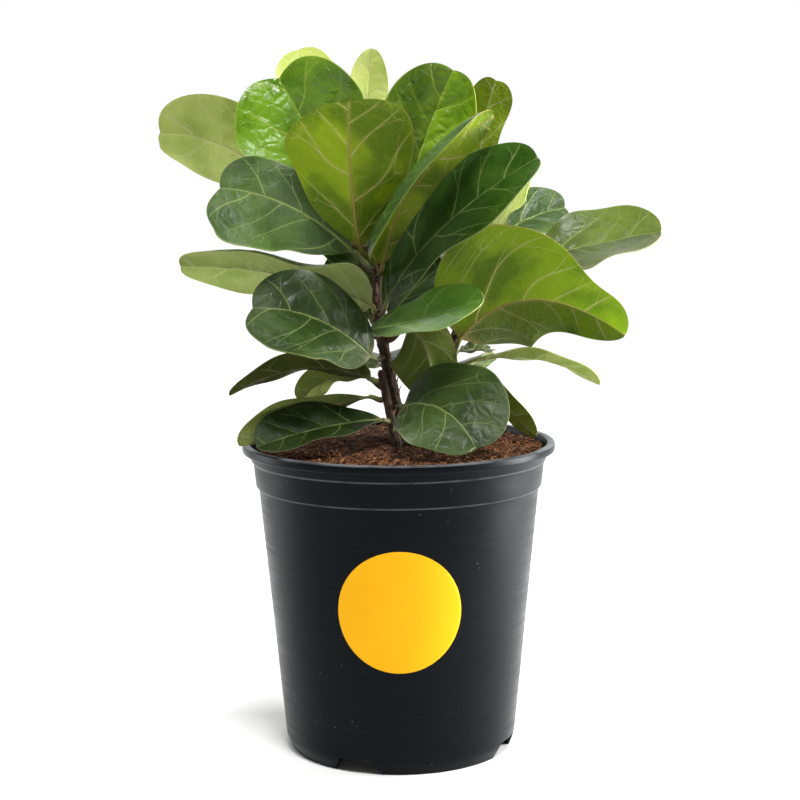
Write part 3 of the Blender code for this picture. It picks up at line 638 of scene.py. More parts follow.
def make_plastic_material():
    """Black moulded plastic: fine rings, a few long scuffs, dust specks, and a paler lip and step edges,
    partly wear and partly painted highlight lines.
    """
    n = Nodes("black_plastic")
    place = n.place()
    rings = n.noise(n.stretched(place, (6.0, 6.0, 900.0)), 1.0, 3.0, 0.65)
    streaks = n.noise(n.stretched(place, (14.0, 14.0, 260.0)), 1.0, 4.0, 0.6)
    cloud = n.noise(place, 9.0, 3.0, 0.5)
    height = n.add("SeparateXYZ", place).outputs[2]
    black = n.blend(cloud, 0.3, 0.7, (0.0008, 0.0014, 0.0020), (0.0018, 0.0028, 0.0038))
    black = n.blend(streaks, 0.5, 0.78, black, (0.012, 0.016, 0.021), 0.16)
    specks = n.cells(place, 150.0, "F1")
    rare = n.clamp_range(n.noise(place, 60.0, 2.0), 0.60, 0.68)
    specks = n.math("MULTIPLY", n.clamp_range(specks, 0.07, 0.12, 1.0, 0.0), rare)
    black = n.cover(black, specks, 0.35, (0.25, 0.23, 0.20))
    # Paler bands at the lip and the step edges, broken by a noise: partly wear, partly painted highlight
    # lines.
    wear_and_highlight = n.clamp_range(height, (RIM_TOP - 1.6) * MM, (RIM_TOP - 0.2) * MM)
    for step in (UPPER_STEP_TOP, LOWER_STEP_TOP + STEP_RISE):
        from_step = n.math("ABSOLUTE", n.math("SUBTRACT", height, (step - 0.2) * MM))
        wear_and_highlight = n.math("MAXIMUM", wear_and_highlight, n.clamp_range(from_step, 0.4 * MM, 1.0 * MM, 0.55, 0.0))
    wear_and_highlight = n.math("MULTIPLY", wear_and_highlight, n.clamp_range(n.noise(place, 45.0, 4.0, 0.6), 0.30, 0.62, 0.25, 1.0))
    black = n.cover(black, wear_and_highlight, 0.55, (0.20, 0.21, 0.23))
    rough = n.clamp_range(streaks, 0.25, 0.8, 0.26, 0.40)
    rough = n.math("MULTIPLY_ADD", specks, 0.3, rough)
    relief = n.math("MULTIPLY_ADD", rings, 0.6, n.math("MULTIPLY", streaks, 0.5))
    normal = n.bump(relief, 0.00012, 0.55)
    return n.finish(black, rough, normal, Specular_IOR_Level=0.09, Specular_Tint=(0.82, 0.92, 1.0, 1.0))


def make_label_material():
    """Plain amber paper with a faint grain."""
    n = Nodes("amber_label")
    place = n.place()
    grain = n.noise(place, 900.0, 3.0, 0.6)
    amber = n.blend(n.noise(place, 30.0, 2.0), 0.3, 0.7, (0.81, 0.395, 0.002), (0.83, 0.410, 0.003))
    amber = n.blend(grain, 0.3, 0.8, amber, (0.90, 0.46, 0.010), 0.10)
    normal = n.bump(grain, 0.00004, 0.4)
    return n.finish(amber, n.clamp_range(grain, 0.2, 0.8, 0.50, 0.62), normal, Specular_IOR_Level=0.12)


def make_grainy_material(name, stretch, noise, colours, rough, bump, shine):
    """Two colours mixed by a noise, stretched along the piece, that also roughens the surface."""
    n = Nodes(name)
    grain = n.noise(n.stretched(n.place(), stretch), 1.0, *noise)
    colour = n.blend(grain, 0.3, 0.7, *colours)
    return n.finish(colour, rough, n.bump(grain, *bump), Specular_IOR_Level=shine)


def make_soil_materials():
    """Dark fine soil, and bark chips in several reddish browns."""
    fines = make_grainy_material("soil_fines", (320.0, 320.0, 320.0), (4.0, 0.65),
                                 ((0.012, 0.006, 0.004), (0.085, 0.036, 0.018)), 0.95, (0.002, 1.0), 0.2)
    n = Nodes("bark_chips")
    shade = n.uv("chip")[0]
    brown = n.blend(shade, 0.0, 0.55, (0.024, 0.009, 0.005), (0.205, 0.076, 0.024))
    brown = n.blend(shade, 0.70, 1.0, brown, (0.50, 0.25, 0.105))
    fibre = n.noise(n.place(), 700.0, 4.0, 0.7)
    brown = n.blend(fibre, 0.35, 0.75, brown, (0.035, 0.014, 0.008), 0.55)
    return fines, n.finish(brown, 0.85, n.bump(fibre, 0.0006, 0.9), Specular_IOR_Level=0.3)


def make_bark_materials():
    """Dark cracked bark, the dry papery sheaths left where leaves stood, and pale bud scales."""
    n = Nodes("stem_bark")
    place = n.place()
    cracks = n.noise(n.stretched(place, (420.0, 420.0, 90.0)), 1.0, 5.0, 0.7)
    brown = n.blend(cracks, 0.32, 0.66, (0.010, 0.006, 0.004), (0.062, 0.036, 0.022))
    brown = n.blend(n.noise(place, 90.0, 3.0, 0.6), 0.52, 0.78, brown, (0.135, 0.085, 0.052), 0.6)
    bark = n.finish(brown, 0.88, n.bump(cracks, 0.0012, 1.0), Specular_IOR_Level=0.25)
    sheath = make_grainy_material("dry_sheath", (600.0, 600.0, 120.0), (4.0, 0.6),
                                  ((0.060, 0.026, 0.012), (0.20, 0.105, 0.05)), 0.75, (0.0006, 0.8), 0.3)
    bud = make_grainy_material("bud_scale", (500.0, 500.0, 80.0), (3.0, 0.5),
                               ((0.42, 0.36, 0.10), (0.62, 0.52, 0.20)), 0.5, (0.0004, 0.6), 0.45)
    return bark, sheath, bud


def wall_radius(height):
    """The main wall's outer radius, below the lower step."""
    part = (height - CHAMFER_TOP) / (LOWER_STEP_TOP - CHAMFER_TOP)
    return CHAMFER_RADIUS + (LOWER_STEP_RADIUS - CHAMFER_RADIUS) * part


def pot_profile():
    """Radius, height and rounding at each corner: outside from the lip down, then inside upwards."""
    rim_under = RIM_TOP - RIM_DROP
    outside = [
        (RIM_INNER_RADIUS, RIM_TOP, 1.4),
        (RIM_RADIUS, RIM_TOP, 2.0),
        (RIM_RADIUS, rim_under, 2.0),
        (COLLAR_RADIUS + 0.8, rim_under, 1.0),
        (COLLAR_RADIUS - 0.7, UPPER_STEP_TOP, 1.2),
        (UPPER_STEP_RADIUS, UPPER_STEP_TOP - STEP_RISE, 0.7),
        (LOWER_STEP_RADIUS + 2.2, LOWER_STEP_TOP + STEP_RISE, 1.2),
        (LOWER_STEP_RADIUS, LOWER_STEP_TOP, 0.7),
        (CHAMFER_RADIUS, CHAMFER_TOP, 3.0),
        (FOOT_RADIUS, 0.0, 0.8),
    ]
    inside = [
        (FOOT_RADIUS - FOOT_WIDTH, 0.0, 0.6),
        (FOOT_RADIUS - FOOT_WIDTH + 0.6, BASE_UNDERSIDE, 0.8),
        (0.0, BASE_UNDERSIDE, 0.0),
        (0.0, BASE_TOP, 0.0),
        (wall_radius(BASE_TOP) - WALL, BASE_TOP, 3.0),
        (LOWER_STEP_RADIUS - WALL, LOWER_STEP_TOP - STEP_RISE, 1.0),
        (LOWER_STEP_RADIUS + 2.2 - WALL, LOWER_STEP_TOP + STEP_RISE, 0.5),
        (UPPER_STEP_RADIUS - WALL, UPPER_STEP_TOP - STEP_RISE, 1.0),
        (RIM_INNER_RADIUS - WALL, rim_under, 1.0),
    ]
    return outside + inside


def rounded(corners, steps=4):
    """A closed outline whose corners are turned into short arcs."""
    made = []
    count = len(corners)
    for k, (radius, height, rounding) in enumerate(corners):
        here = np.array((radius, height))
        if rounding == 0.0:
            made.append(here)
            continue
        before = np.array(corners[k - 1][:2]) - here
        after = np.array(corners[(k + 1) % count][:2]) - here
        reach = min(rounding, 0.45 * np.linalg.norm(before), 0.45 * np.linalg.norm(after))
        start, end = here + unit(before) * reach, here + unit(after) * reach
        for u in np.linspace(0.0, 1.0, steps + 1):
            made.append((1 - u) ** 2 * start + 2 * u * (1 - u) * here + u**2 * end)
    return made


def refined(outline, longest=9.0):
    """The outline with its long stretches split, so that the turned surface shades evenly."""
    made = []
    for k, here in enumerate(outline):
        after = outline[(k + 1) % len(outline)]
        made.append(here)
        if here[0] == 0.0 and after[0] == 0.0:
            continue
        pieces = int(np.linalg.norm(after - here) // longest)
        made += [here + (after - here) * j / (pieces + 1) for j in range(1, pieces + 1)]
    return made


def turn_outline(outline, segments):
    """Points and faces of an outline turned round the pot's axis, closed on the axis."""
    points, rows, faces = [], [], []
    turns = math.tau * np.arange(segments) / segments
    for radius, height in outline:
        start = len(points)
        if radius == 0.0:
            points.append((0.0, 0.0, height))
            rows.append([start] * segments)
        else:
            points += [(radius * math.cos(t), radius * math.sin(t), height) for t in turns]
            rows.append([start + k for k in range(segments)])
    for j, row in enumerate(rows):
        after = rows[(j + 1) % len(rows)]
        if row[0] == row[1] and after[0] == after[1]:
            continue
        for k in range(segments):
            corners = [row[k], after[k], after[(k + 1) % segments], row[(k + 1) % segments]]
            faces.append(tuple(dict.fromkeys(corners)))
    return points, faces


def make_notch_cutter():
    """Four wedges that open the foot ring, narrower at the top."""
    points, faces = [], []
    inner, outer = FOOT_RADIUS - 14.0, FOOT_RADIUS + 12.0
    for angle in NOTCH_ANGLES:
        turn = math.radians(angle - 90.0)
        out = Vector((math.cos(turn), math.sin(turn), 0.0))
        side = Vector((-out.y, out.x, 0.0))
        start = len(points)
        for radius in (inner, outer):
            for half, height in (
                (-NOTCH_HALF_WIDTH - 1.0, -2.0),
                (NOTCH_HALF_WIDTH + 1.0, -2.0),
                (NOTCH_TOP_HALF_WIDTH, NOTCH_HEIGHT),
                (-NOTCH_TOP_HALF_WIDTH, NOTCH_HEIGHT),
            ):
                points.append(out * radius + side * half + Vector((0.0, 0.0, height)))
        box = ((0, 1, 2, 3), (7, 6, 5, 4), (0, 4, 5, 1), (1, 5, 6, 2), (2, 6, 7, 3), (3, 7, 4, 0))
        faces += [tuple(start + k for k in reversed(face)) for face in box]
    return add_object("notch_cutter", points, faces, ())


def make_pot(material):
    points, faces = turn_outline(refined(rounded(pot_profile())), POT_SEGMENTS)
    pot = add_object("pot_shell", points, faces, (material,), sharp=50.0)
    cutter = make_notch_cutter()
    notches = pot.modifiers.new("notches", "BOOLEAN")
    notches.operation = "DIFFERENCE"
    notches.object = cutter
    apply_modifiers(pot)
    bpy.data.objects.remove(cutter)
    return stand_in(pot, "pot")


def apply_modifiers(obj):
    """Keeps the mesh that the modifiers make, and drops the modifiers."""
    graph = bpy.context.evaluated_depsgraph_get()
    mesh = bpy.data.meshes.new_from_object(obj.evaluated_get(graph))
    obj.modifiers.clear()
    old = obj.data
    obj.data = mesh
    bpy.data.meshes.remove(old)


def make_label(material):
    """A thin round label bent to the pot's wall, its edge rounded over."""
    rings, segments = 24, 144
    slope = math.atan2(LOWER_STEP_RADIUS - CHAMFER_RADIUS, LOWER_STEP_TOP - CHAMFER_TOP)
    reaches = [LABEL_RADIUS * k / rings for k in range(1, rings + 1)]
    layers = [(reach, LABEL_THICKNESS) for reach in reaches[:-1]]
    layers += [(LABEL_RADIUS - LABEL_ROUNDING, LABEL_THICKNESS),
               (LABEL_RADIUS, LABEL_THICKNESS - LABEL_ROUNDING), (LABEL_RADIUS, 0.0),
               (LABEL_RADIUS * 0.5, 0.0)]

    def on_wall(reach, turn, lift):
        height = LABEL_HEIGHT + reach * math.sin(turn) * math.cos(slope)
        radius = wall_radius(height) + LABEL_GAP + lift
        around = reach * math.cos(turn) / radius
        return (radius * math.sin(around), -radius * math.cos(around), height)

    points = [on_wall(0.0, 0.0, LABEL_THICKNESS)]
    for reach, lift in layers:
        points += [on_wall(reach, math.tau * k / segments, lift) for k in range(segments)]
    points.append(on_wall(0.0, 0.0, 0.0))
    faces = [(0, 1 + k, 1 + (k + 1) % segments) for k in range(segments)]
    faces += ring_faces(len(layers), segments, first=1, turned=True)
    last = 1 + (len(layers) - 1) * segments
    faces += [(last + k, len(points) - 1, last + (k + 1) % segments) for k in range(segments)]
    return stand_in(add_object("label_disc", points, faces, (material,)), "label")


def soil_height(x, y):
    """The soil's surface: a low mound round the stems, with lumps."""
    reach = np.hypot(x, y) / RIM_INNER_RADIUS
    lumps = np.sin(0.21 * x + 1.3) * np.sin(0.17 * y + 0.4) + 0.6 * np.sin(0.33 * x - 0.29 * y)
    return SOIL_EDGE + SOIL_MOUND * (1.0 - reach**2) + SOIL_BUMP * lumps * (1.0 - reach**6)


def inner_wall_radius(height):
    """The pot's inner radius beside the soil."""
    if height > LOWER_STEP_TOP:
        part = (height - LOWER_STEP_TOP) / (RIM_TOP - LOWER_STEP_TOP)
        return LOWER_STEP_RADIUS - WALL + (RIM_INNER_RADIUS - LOWER_STEP_RADIUS) * part
    return wall_radius(height) - WALL


def make_soil(fines, chips, slots):
    """Fine soil that fills the pot, and loose bark chips and crumbs strewn on it."""
    rng = np.random.default_rng(11)
    edge = inner_wall_radius(SOIL_EDGE) - 0.8
    reaches = list(edge * np.arange(1, SOIL_RINGS + 1) / SOIL_RINGS)
    turns = math.tau * np.arange(SOIL_SEGMENTS) / SOIL_SEGMENTS
    points = [np.array((0.0, 0.0, float(soil_height(0.0, 0.0)) - 1.5))]
    for reach in reaches:
        x, y = reach * np.cos(turns), reach * np.sin(turns)
        rough = rng.uniform(-2.6, -0.6, SOIL_SEGMENTS)
        points += list(np.stack([x, y, soil_height(x, y) + rough], axis=1))
    for height in (LOWER_STEP_TOP - 4.0, BASE_TOP + 5.0, BASE_TOP + 0.6):
        reach = inner_wall_radius(height) - (3.0 if height < BASE_TOP + 1.0 else 0.8)
        points += list(np.stack([reach * np.cos(turns), reach * np.sin(turns),
                                 np.full(SOIL_SEGMENTS, height)], axis=1))
    rings = SOIL_RINGS + 3
    faces = [(0, 1 + k, 1 + (k + 1) % SOIL_SEGMENTS) for k in range(SOIL_SEGMENTS)]
    faces += ring_faces(rings, SOIL_SEGMENTS, first=1, turned=True)
    faces.append(tuple(1 + (rings - 1) * SOIL_SEGMENTS + k for k in reversed(range(SOIL_SEGMENTS))))
    bed = add_object("soil_bed", points, faces, (fines,), sharp=180.0)
    stand_in(bed, "soil")
    stand_in(strew_chips(rng, edge - 1.0, chips), "soil", shown_for=False)


def splinter(centre, way, side, size, jitter):
    """A chip's rings of points, from its length, width and thickness."""
    length, wide, thick = size
    up = np.cross(way, side)
    sides = jitter.shape[1]
    points = []
    for j, (place, girth) in enumerate(CHIP_ENDS):
        for i in range(sides):
            angle = math.tau * i / sides + 0.4 * j
            across = side * (math.cos(angle) * wide / 2) + up * (math.sin(angle) * thick / 2)
            points.append(centre + way * (place * length / 2) + across * (girth * jitter[j, i]))
    return points


def strew_chips(rng, edge, material):
    """Bark chips as tapered splinters and small crumbs, each turned and tipped its own way."""
    count = CHIP_COUNT + CRUMB_COUNT
    reach = edge * np.sqrt(rng.uniform(0.0, 1.0, count))
    turn = rng.uniform(0.0, math.tau, count)
    x, y = reach * np.cos(turn), reach * np.sin(turn)
    big = np.arange(count) < CHIP_COUNT
    near_stems = np.exp(-(((x - 5) / 34) ** 2) - ((y - 2) / 30) ** 2)
    length = np.where(big, rng.uniform(3.0, 9.5, count), rng.uniform(1.2, 3.0, count))
    length = length * (1 - 0.45 * near_stems)
    wide = length * np.where(big, rng.uniform(0.16, 0.42, count), rng.uniform(0.5, 0.9, count))
    thick = wide * rng.uniform(0.35, 0.8, count)
    heading = rng.uniform(0.0, math.tau, count)
    tip = np.radians(rng.normal(0.0, 16.0, count))
    lift = rng.uniform(-0.4, 1.3, count)
    shade = np.clip(rng.beta(1.5, 2.2, count) * (1 - 0.45 * near_stems), 0, 1)
    points, faces, shades = [], [], []
    for k in range(count):
        sides = CHIP_SIDES if big[k] else CRUMB_SIDES
        way = np.array((math.cos(heading[k]) * math.cos(tip[k]), math.sin(heading[k]) * math.cos(tip[k]),
                        math.sin(tip[k])))
        side = np.array((-math.sin(heading[k]), math.cos(heading[k]), 0.0))
        floor = float(soil_height(x[k], y[k])) + lift[k] + thick[k] * 0.2 - 0.6
        centre = np.array((x[k], y[k], min(floor, RIM_TOP - 3.5)))
        start = len(points)
        jitter = rng.uniform(0.7, 1.15, (len(CHIP_ENDS), sides))
        points += splinter(centre, way, side, (length[k], wide[k], thick[k]), jitter)
        faces += ring_faces(len(CHIP_ENDS), sides, start) + end_faces(len(CHIP_ENDS), sides, start)
        shades += [shade[k]] * ((len(CHIP_ENDS) - 1) * sides * 4 + 2 * sides)
    points = np.array(points)
    out = np.hypot(points[:, 0], points[:, 1])
    points[:, :2] *= np.minimum(1.0, (edge + 0.6) / np.maximum(out, 1e-6))[:, None]
    obj = add_object("soil_chips", points, faces, (material,), sharp=30.0)
    set_uv(obj, "chip", shades, shades)
    return obj


def ring_round(centre, along, radius, sides):
    """Points on a circle that turns anticlockwise seen from the end that along points to."""
    first = unit(np.cross(along, (0.0, -1.0, 0.0)))
    second = np.cross(along, first)
    turns = math.tau * np.arange(sides) / sides
    circle = np.cos(turns)[:, None] * first + np.sin(turns)[:, None] * second
    return centre + circle * np.reshape(radius, (-1, 1))


def stem_point(stem, height):
    """The stem's axis at a height."""
    route = np.array(stem.route, float)
    return np.array([np.interp(height, route[:, 2], route[:, c]) for c in range(3)])


def stem_radius(stem, height):
    low, high = stem.route[0][2], stem.route[-1][2]
    return stem.foot_radius + (stem.top_radius - stem.foot_radius) * (height - low) / (high - low)


def make_stem(name, stem, material, seed):
    """A woody stem with ringed leaf scars, lengthwise cracks and a tip that closes over."""
    rng = np.random.default_rng(seed)
    low, high = stem.route[0][2], stem.route[-1][2]
    heights = np.arange(low, high, BARK_STEP)
    scars = np.cumsum(rng.uniform(5.0, 9.5, 60)) + SOIL_EDGE
    turns = math.tau * np.arange(BARK_SIDES) / BARK_SIDES
    points = []
    for height in heights:
        below, above = stem_point(stem, height - 5.0), stem_point(stem, height + 5.0)
        base = stem_radius(stem, height)
        from_scar = np.min(np.abs(scars - height - 1.2 * np.sin(height)))
        scar = math.exp(-((from_scar / 0.9) ** 2))
        hollow = math.exp(-((from_scar - 2) ** 2))
        girth = 0.93 + 0.10 * scar - 0.03 * hollow
        cracks = 0.030 * np.sin(9 * turns + 0.11 * height) + 0.020 * np.sin(17 * turns - 0.23 * height)
        cracks += 0.015 * np.sin(5 * turns + 0.6 * height) + rng.normal(0.0, 0.008, BARK_SIDES)
        closing = min(1.0, math.sqrt(max(0.0, (high - height) / 3.0)))
        foot = 1.0 + 0.10 * math.exp(-(((height - SOIL_EDGE - 3.0) / 6.0) ** 2))
        along = unit(above - below + np.array((0.0, 0.0, 1e-6)))
        radius = base * (girth + cracks) * closing * foot
        points += list(ring_round(stem_point(stem, height), along, radius, BARK_SIDES))
    faces = ring_faces(len(heights), BARK_SIDES) + end_faces(len(heights), BARK_SIDES)
    return stand_in(add_object(name + "_bark", points, faces, (material,), sharp=60.0), name)


def make_scale(foot, up, out, length, width, lean):
    """A pointed, papery scale: rings that narrow and lean outwards from foot to tip."""
    side = np.cross(up, out)
    sides, rings = 8, 9
    turns = math.tau * np.arange(sides) / sides
    points = []
    for u in np.linspace(0.0, 1.0, rings):
        centre = foot + up * (length * u) + out * (lean * length * u**1.7)
        half = width / 2 * (1 - u) ** 0.8 * (0.8 + 0.6 * u) + 0.12
        thick = 0.55 * (1 - u) + 0.12
        curl = -0.35 * half * np.cos(turns) ** 2
        points += list(centre + np.outer(half * np.cos(turns), side)
                       + np.outer(thick * np.sin(turns) + curl, out))
    return points, ring_faces(rings, sides, turned=True) + end_faces(rings, sides, turned=True)


def make_sheaths(name, stem, sheath, bud, seed):
    """Dry pointed scales left at old leaf scars, and a bud of pale scales at the stem's top."""
    rng = np.random.default_rng(100 + seed)
    high = stem.route[-1][2]
    heights = list(np.arange(SOIL_EDGE + 14.0, high - 12.0, SHEATH_SPACING))
    heights += [high - 4.0] * (BUD_SCALES if name in BUDDED_STEMS else 0)
    points, faces, slots_used = [], [], []
    for k, height in enumerate(heights):
        in_bud = height > high - 5.0
        turn = math.tau * k / BUD_SCALES if in_bud else rng.uniform(0.0, math.tau)
        out = np.array((math.cos(turn), math.sin(turn), 0.0))
        radius = stem_radius(stem, height)
        foot = stem_point(stem, height) + out * (radius * (0.35 if in_bud else 0.9))
        if in_bud:
            piece = make_scale(foot, np.array((0.0, 0.0, 1.0)), out, 15.0, 5.5, -0.07)
        else:
            length = rng.uniform(5.0, 10.5)
            piece = make_scale(foot, np.array((0.0, 0.0, 1.0)), out, length, rng.uniform(2.6, 4.4),
                               rng.uniform(0.15, 0.55))
        start = len(points)
        points += piece[0]
        faces += [tuple(start + c for c in face) for face in piece[1]]
        slots_used += [1 if in_bud else 0] * len(piece[1])
    obj = add_object(name + "_scales", points, faces, (sheath, bud))
    obj.data.polygons.foreach_set("material_index", np.array(slots_used, np.int32))
    stand_in(obj, name, shown_for=False)


def midrib(leaf, t):
    """Points and directions along the blade's midrib, which passes through the leaf's middle half way."""
    base, middle, tip = (np.array(p, float) for p in (leaf.base, leaf.middle, leaf.tip))
    bend = 2.0 * middle - (base + tip) / 2.0
    t = t[:, None]
    points = (1 - t) ** 2 * base + 2 * t * (1 - t) * bend + t**2 * tip
    return points, unit((1 - t) * (bend - base) + t * (tip - bend))


def half_width(leaf, t):
    """The blade's outline: it widens from a narrow base, and its end is broad and round."""
    rise = np.sin(np.pi / 2 * np.clip(t / leaf.widest, 0, 1)) ** leaf.taper
    fall = 1 - np.clip((t - leaf.widest) / (1 - leaf.widest), 0, 1) ** leaf.blunt
    whole = np.where(t < leaf.widest, rise, np.sqrt(np.maximum(fall, 0)))
    return leaf.width / 2 * np.maximum(whole, TIP_FRACTION)


def side_shares(leaf, t, s):
    """Each point's share of the half width, smaller at the waist of its own side."""
    dip = np.exp(-(((t - leaf.waist_at) / WAIST_REACH) ** 2))[:, None]
    own = np.where(s < 0, leaf.halves[0], leaf.halves[1])[None, :]
    return own * (1 - dip * np.where(s < 0, leaf.waist[0], leaf.waist[1])[None, :])


def lobes(leaf, t, across):
    """How far the tip's lobes reach past the end of the midrib."""
    rise = np.clip((t[:, None] - 0.5) / 0.5, 0, 1)
    part = np.clip(across / (leaf.width / 2), -1.2, 1.2)
    ahead = leaf.notch * np.sin(np.pi * np.clip(np.abs(part), 0, 1)) + leaf.slant * part
    return ahead * rise**2 * (3 - 2 * rise)


def half_section(half, s, t):
    """How far across and how far up a half blade goes, and its slope there, for a half width of 1."""
    fold, cup, roll = half
    fine = np.linspace(0, 1, SECTION_STEPS + 1)
    window = np.sin(np.pi * np.clip(t, 0, 1)) ** 0.7
    slope = fold + cup * fine[None, :] + roll * window[:, None] * np.clip((fine[None, :] - 0.5) / 0.5, 0, 1)
    slope = np.radians(slope)
    step = 1.0 / SECTION_STEPS
    middle = (slope[:, 1:] + slope[:, :-1]) / 2
    across = np.concatenate([np.zeros((len(t), 1)), np.cumsum(np.cos(middle), axis=1)], axis=1) * step
    up = np.concatenate([np.zeros((len(t), 1)), np.cumsum(np.sin(middle), axis=1)], axis=1) * step
    columns = [[np.interp(v, fine, row) for v in s] for table in (across, up, slope) for row in table]
    return np.array(columns).reshape(3, len(t), len(s))


def own_phase(leaf):
    """A phase of its own for each leaf, so that no two are waved alike."""
    return 0.37 * sum(leaf.middle)


def vein_order(leaf, along, across, length, side):
    """A number that is whole on each side vein, and how much it grows in a millimetre across a vein."""
    count = max(3.0, round(length / LATERAL_SPACING))
    reach = np.abs(across)
    forward = 0.75 * reach + 0.35 * reach**2 / (leaf.width / 2)
    own = own_phase(leaf)
    q = count * (along - forward) / length + (0.15 if side > 0 else 0.62)
    q = q + 0.20 * np.sin(1.9 * q + own + 0.7 * side) + 0.09 * np.sin(0.13 * reach + 3.0 * q + own)
    return q, 1.3 * count / length


def blade_faces(leaf, t, s):
    """The blade's upper and lower points, by row along it and by column across it."""
    centre, way = midrib(leaf, t)
    faces = np.array(leaf.faces, float)
    normal = unit(faces - (way @ faces)[:, None] * way)
    side = np.cross(way, normal)
    turn = np.radians(leaf.twist) * (t - 0.5)[:, None]
    normal, side = (
        normal * np.cos(turn) + side * np.sin(turn),
        side * np.cos(turn) - normal * np.sin(turn),
    )
    reach = np.abs(s)
    left, right = half_section(leaf.left, reach, t), half_section(leaf.right, reach, t)
    across, up, slope = np.where((s < 0)[None, None, :], left, right)
    sign = np.sign(s)[None, :]
    width = half_width(leaf, t)[:, None] * side_shares(leaf, t, s)
    side, normal = side[:, None, :], normal[:, None, :]
    out = side * (sign * across * width)[:, :, None] + normal * (up * width)[:, :, None]
    local = normal * np.cos(slope)[:, :, None] - side * (sign * np.sin(slope))[:, :, None]
    ripple = np.sin(2 * np.pi * leaf.waves * t[:, None] + leaf.phase + (s[None, :] > 0) * 2.1)
    ripple = ripple * leaf.wave * (reach[None, :] ** 2) * np.sin(np.pi * np.clip(t, 0, 1))[:, None] ** 0.5
    along = np.concatenate([[0.0], np.cumsum(np.linalg.norm(np.diff(centre, axis=0), axis=1))])
    metric = np.broadcast_to(along[:, None], (len(t), len(s))), s[None, :] * width
    ripple = ripple + quilting(leaf, *metric, along[-1], reach[None, :], t[:, None])
    ahead = lobes(leaf, t, s[None, :] * width)
    metric = metric[0] + ahead, metric[1]
    centre = centre[:, None, :] + way[:, None, :] * ahead[:, :, None] + out + local * ripple[:, :, None]
    half = BLADE_THICKNESS / 2
    rib = RIB_DEPTH * (1 - 0.7 * t[:, None]) * np.exp(-((reach[None, :] * width / RIB_HALF_WIDTH) ** 2))
    return centre + local * half, centre - local * (half + rib)[:, :, None], metric, along[-1]


def quilting(leaf, along, across, length, reach, t):
    """How far the blade swells between its veins, with small puckers, fading out at its ends."""
    sides = [vein_order(leaf, along, across, length, side) for side in (-1, 1)]
    q = np.where(across < 0, sides[0][0], sides[1][0])
    from_vein = np.abs(q - np.round(q)) / sides[0][1]
    swell = 1.0 - np.exp(-((from_vein / 3.2) ** 2)) - np.exp(-((across / 3.0) ** 2))
    own = own_phase(leaf)
    pucker = np.sin(0.27 * along + 1.1 + own) * np.sin(0.33 * across + 0.5)
    pucker = pucker + 0.4 * np.sin(0.41 * along - 0.32 * across + 2.0 + own)
    fade = np.sin(np.pi * np.clip(t, 0.02, 0.98)) ** 0.4 * (1 - reach**6)
    return QUILT[leaf.tone] * (0.65 * swell + 0.30 * pucker) * fade


def petiole_rings(leaf, rows, count):
    """Rings round the leaf stalk, from its seat beside the stem to the blade's base."""
    stem = STEMS[leaf.stem]
    axis = stem_point(stem, leaf.joins_at)
    base, way = (v[0] for v in midrib(leaf, np.array([0.0])))
    away = base - axis
    away = unit(np.array([away[0], away[1], 0.0]))
    root = axis + away * (stem_radius(stem, leaf.joins_at) + SEAT_GAP)
    length = np.linalg.norm(base - root)
    rings = []
    for u in np.linspace(0, 1, rows + 1)[:-1]:
        near, far = root + away * 0.4 * length, base - way * 0.4 * length
        point = (1 - u) ** 3 * root + 3 * u * (1 - u) ** 2 * near + 3 * u**2 * (1 - u) * far + u**3 * base
        along = 3 * (1 - u) ** 2 * (near - root) + 6 * u * (1 - u) * (far - near) + 3 * u**2 * (base - far)
        along = unit(along)
        up = np.array(leaf.faces, float)
        up = unit(up - (up @ along) * along)
        side = np.cross(along, up)
        radius = PETIOLE_RADIUS + PETIOLE_FLARE * (1 - u) ** 2
        turns = np.pi - np.pi / count * (np.arange(2 * count) + 0.5)
        rings.append(point + radius * (np.cos(turns)[:, None] * side + np.sin(turns)[:, None] * up))
    return rings, length


def leaf_skin(rings, count):
    """The faces of a leaf's closed body, each one's material, and the half of the leaf that it is on."""
    around = 2 * count
    columns = [k if k < count else around - 2 - k for k in range(around)]
    faces = ring_faces(rings, around)
    skins = [int(k >= count - 1) for k in range(around)] * (rings - 1)
    halves = [-1 if column < BLADE_COLUMNS else 1 for column in columns] * (rings - 1)
    last = (rings - 1) * around
    for k in range(count - 1):
        a, b, c, d = k, k + 1, around - 2 - k, around - 1 - k
        faces += [(d, c, b, a), (last + a, last + b, last + c, last + d)]
        skins += [1, 1]
        halves += [-1 if k < BLADE_COLUMNS else 1] * 2
    return faces, skins, halves


def set_tints_and_painted_light(obj, name, part, half_of):
    """The leaf's tint with its painted shade and painted light, by half and by the part of the way from
    base to tip.
    """
    bright, red, blue = TINTS_AND_PAINTED_LIGHT.get(name, PLAIN_TINT_AND_LIGHT)
    left, right = PAINTED_HALF_SHADE.get(name, (1.0, 1.0))
    base, tip = PAINTED_END_LIGHT.get(name, PLAIN_PAINTED_ENDS)
    bright = bright * np.where(half_of < 0, left, right)
    bright = bright * np.interp(part, (0.0, 0.5, 1.0), (base, 1.0, tip))
    set_uv(obj, "tint_and_painted_light", bright * red, bright)
    set_uv(obj, "tint_and_painted_light_blue", bright * blue, bright)


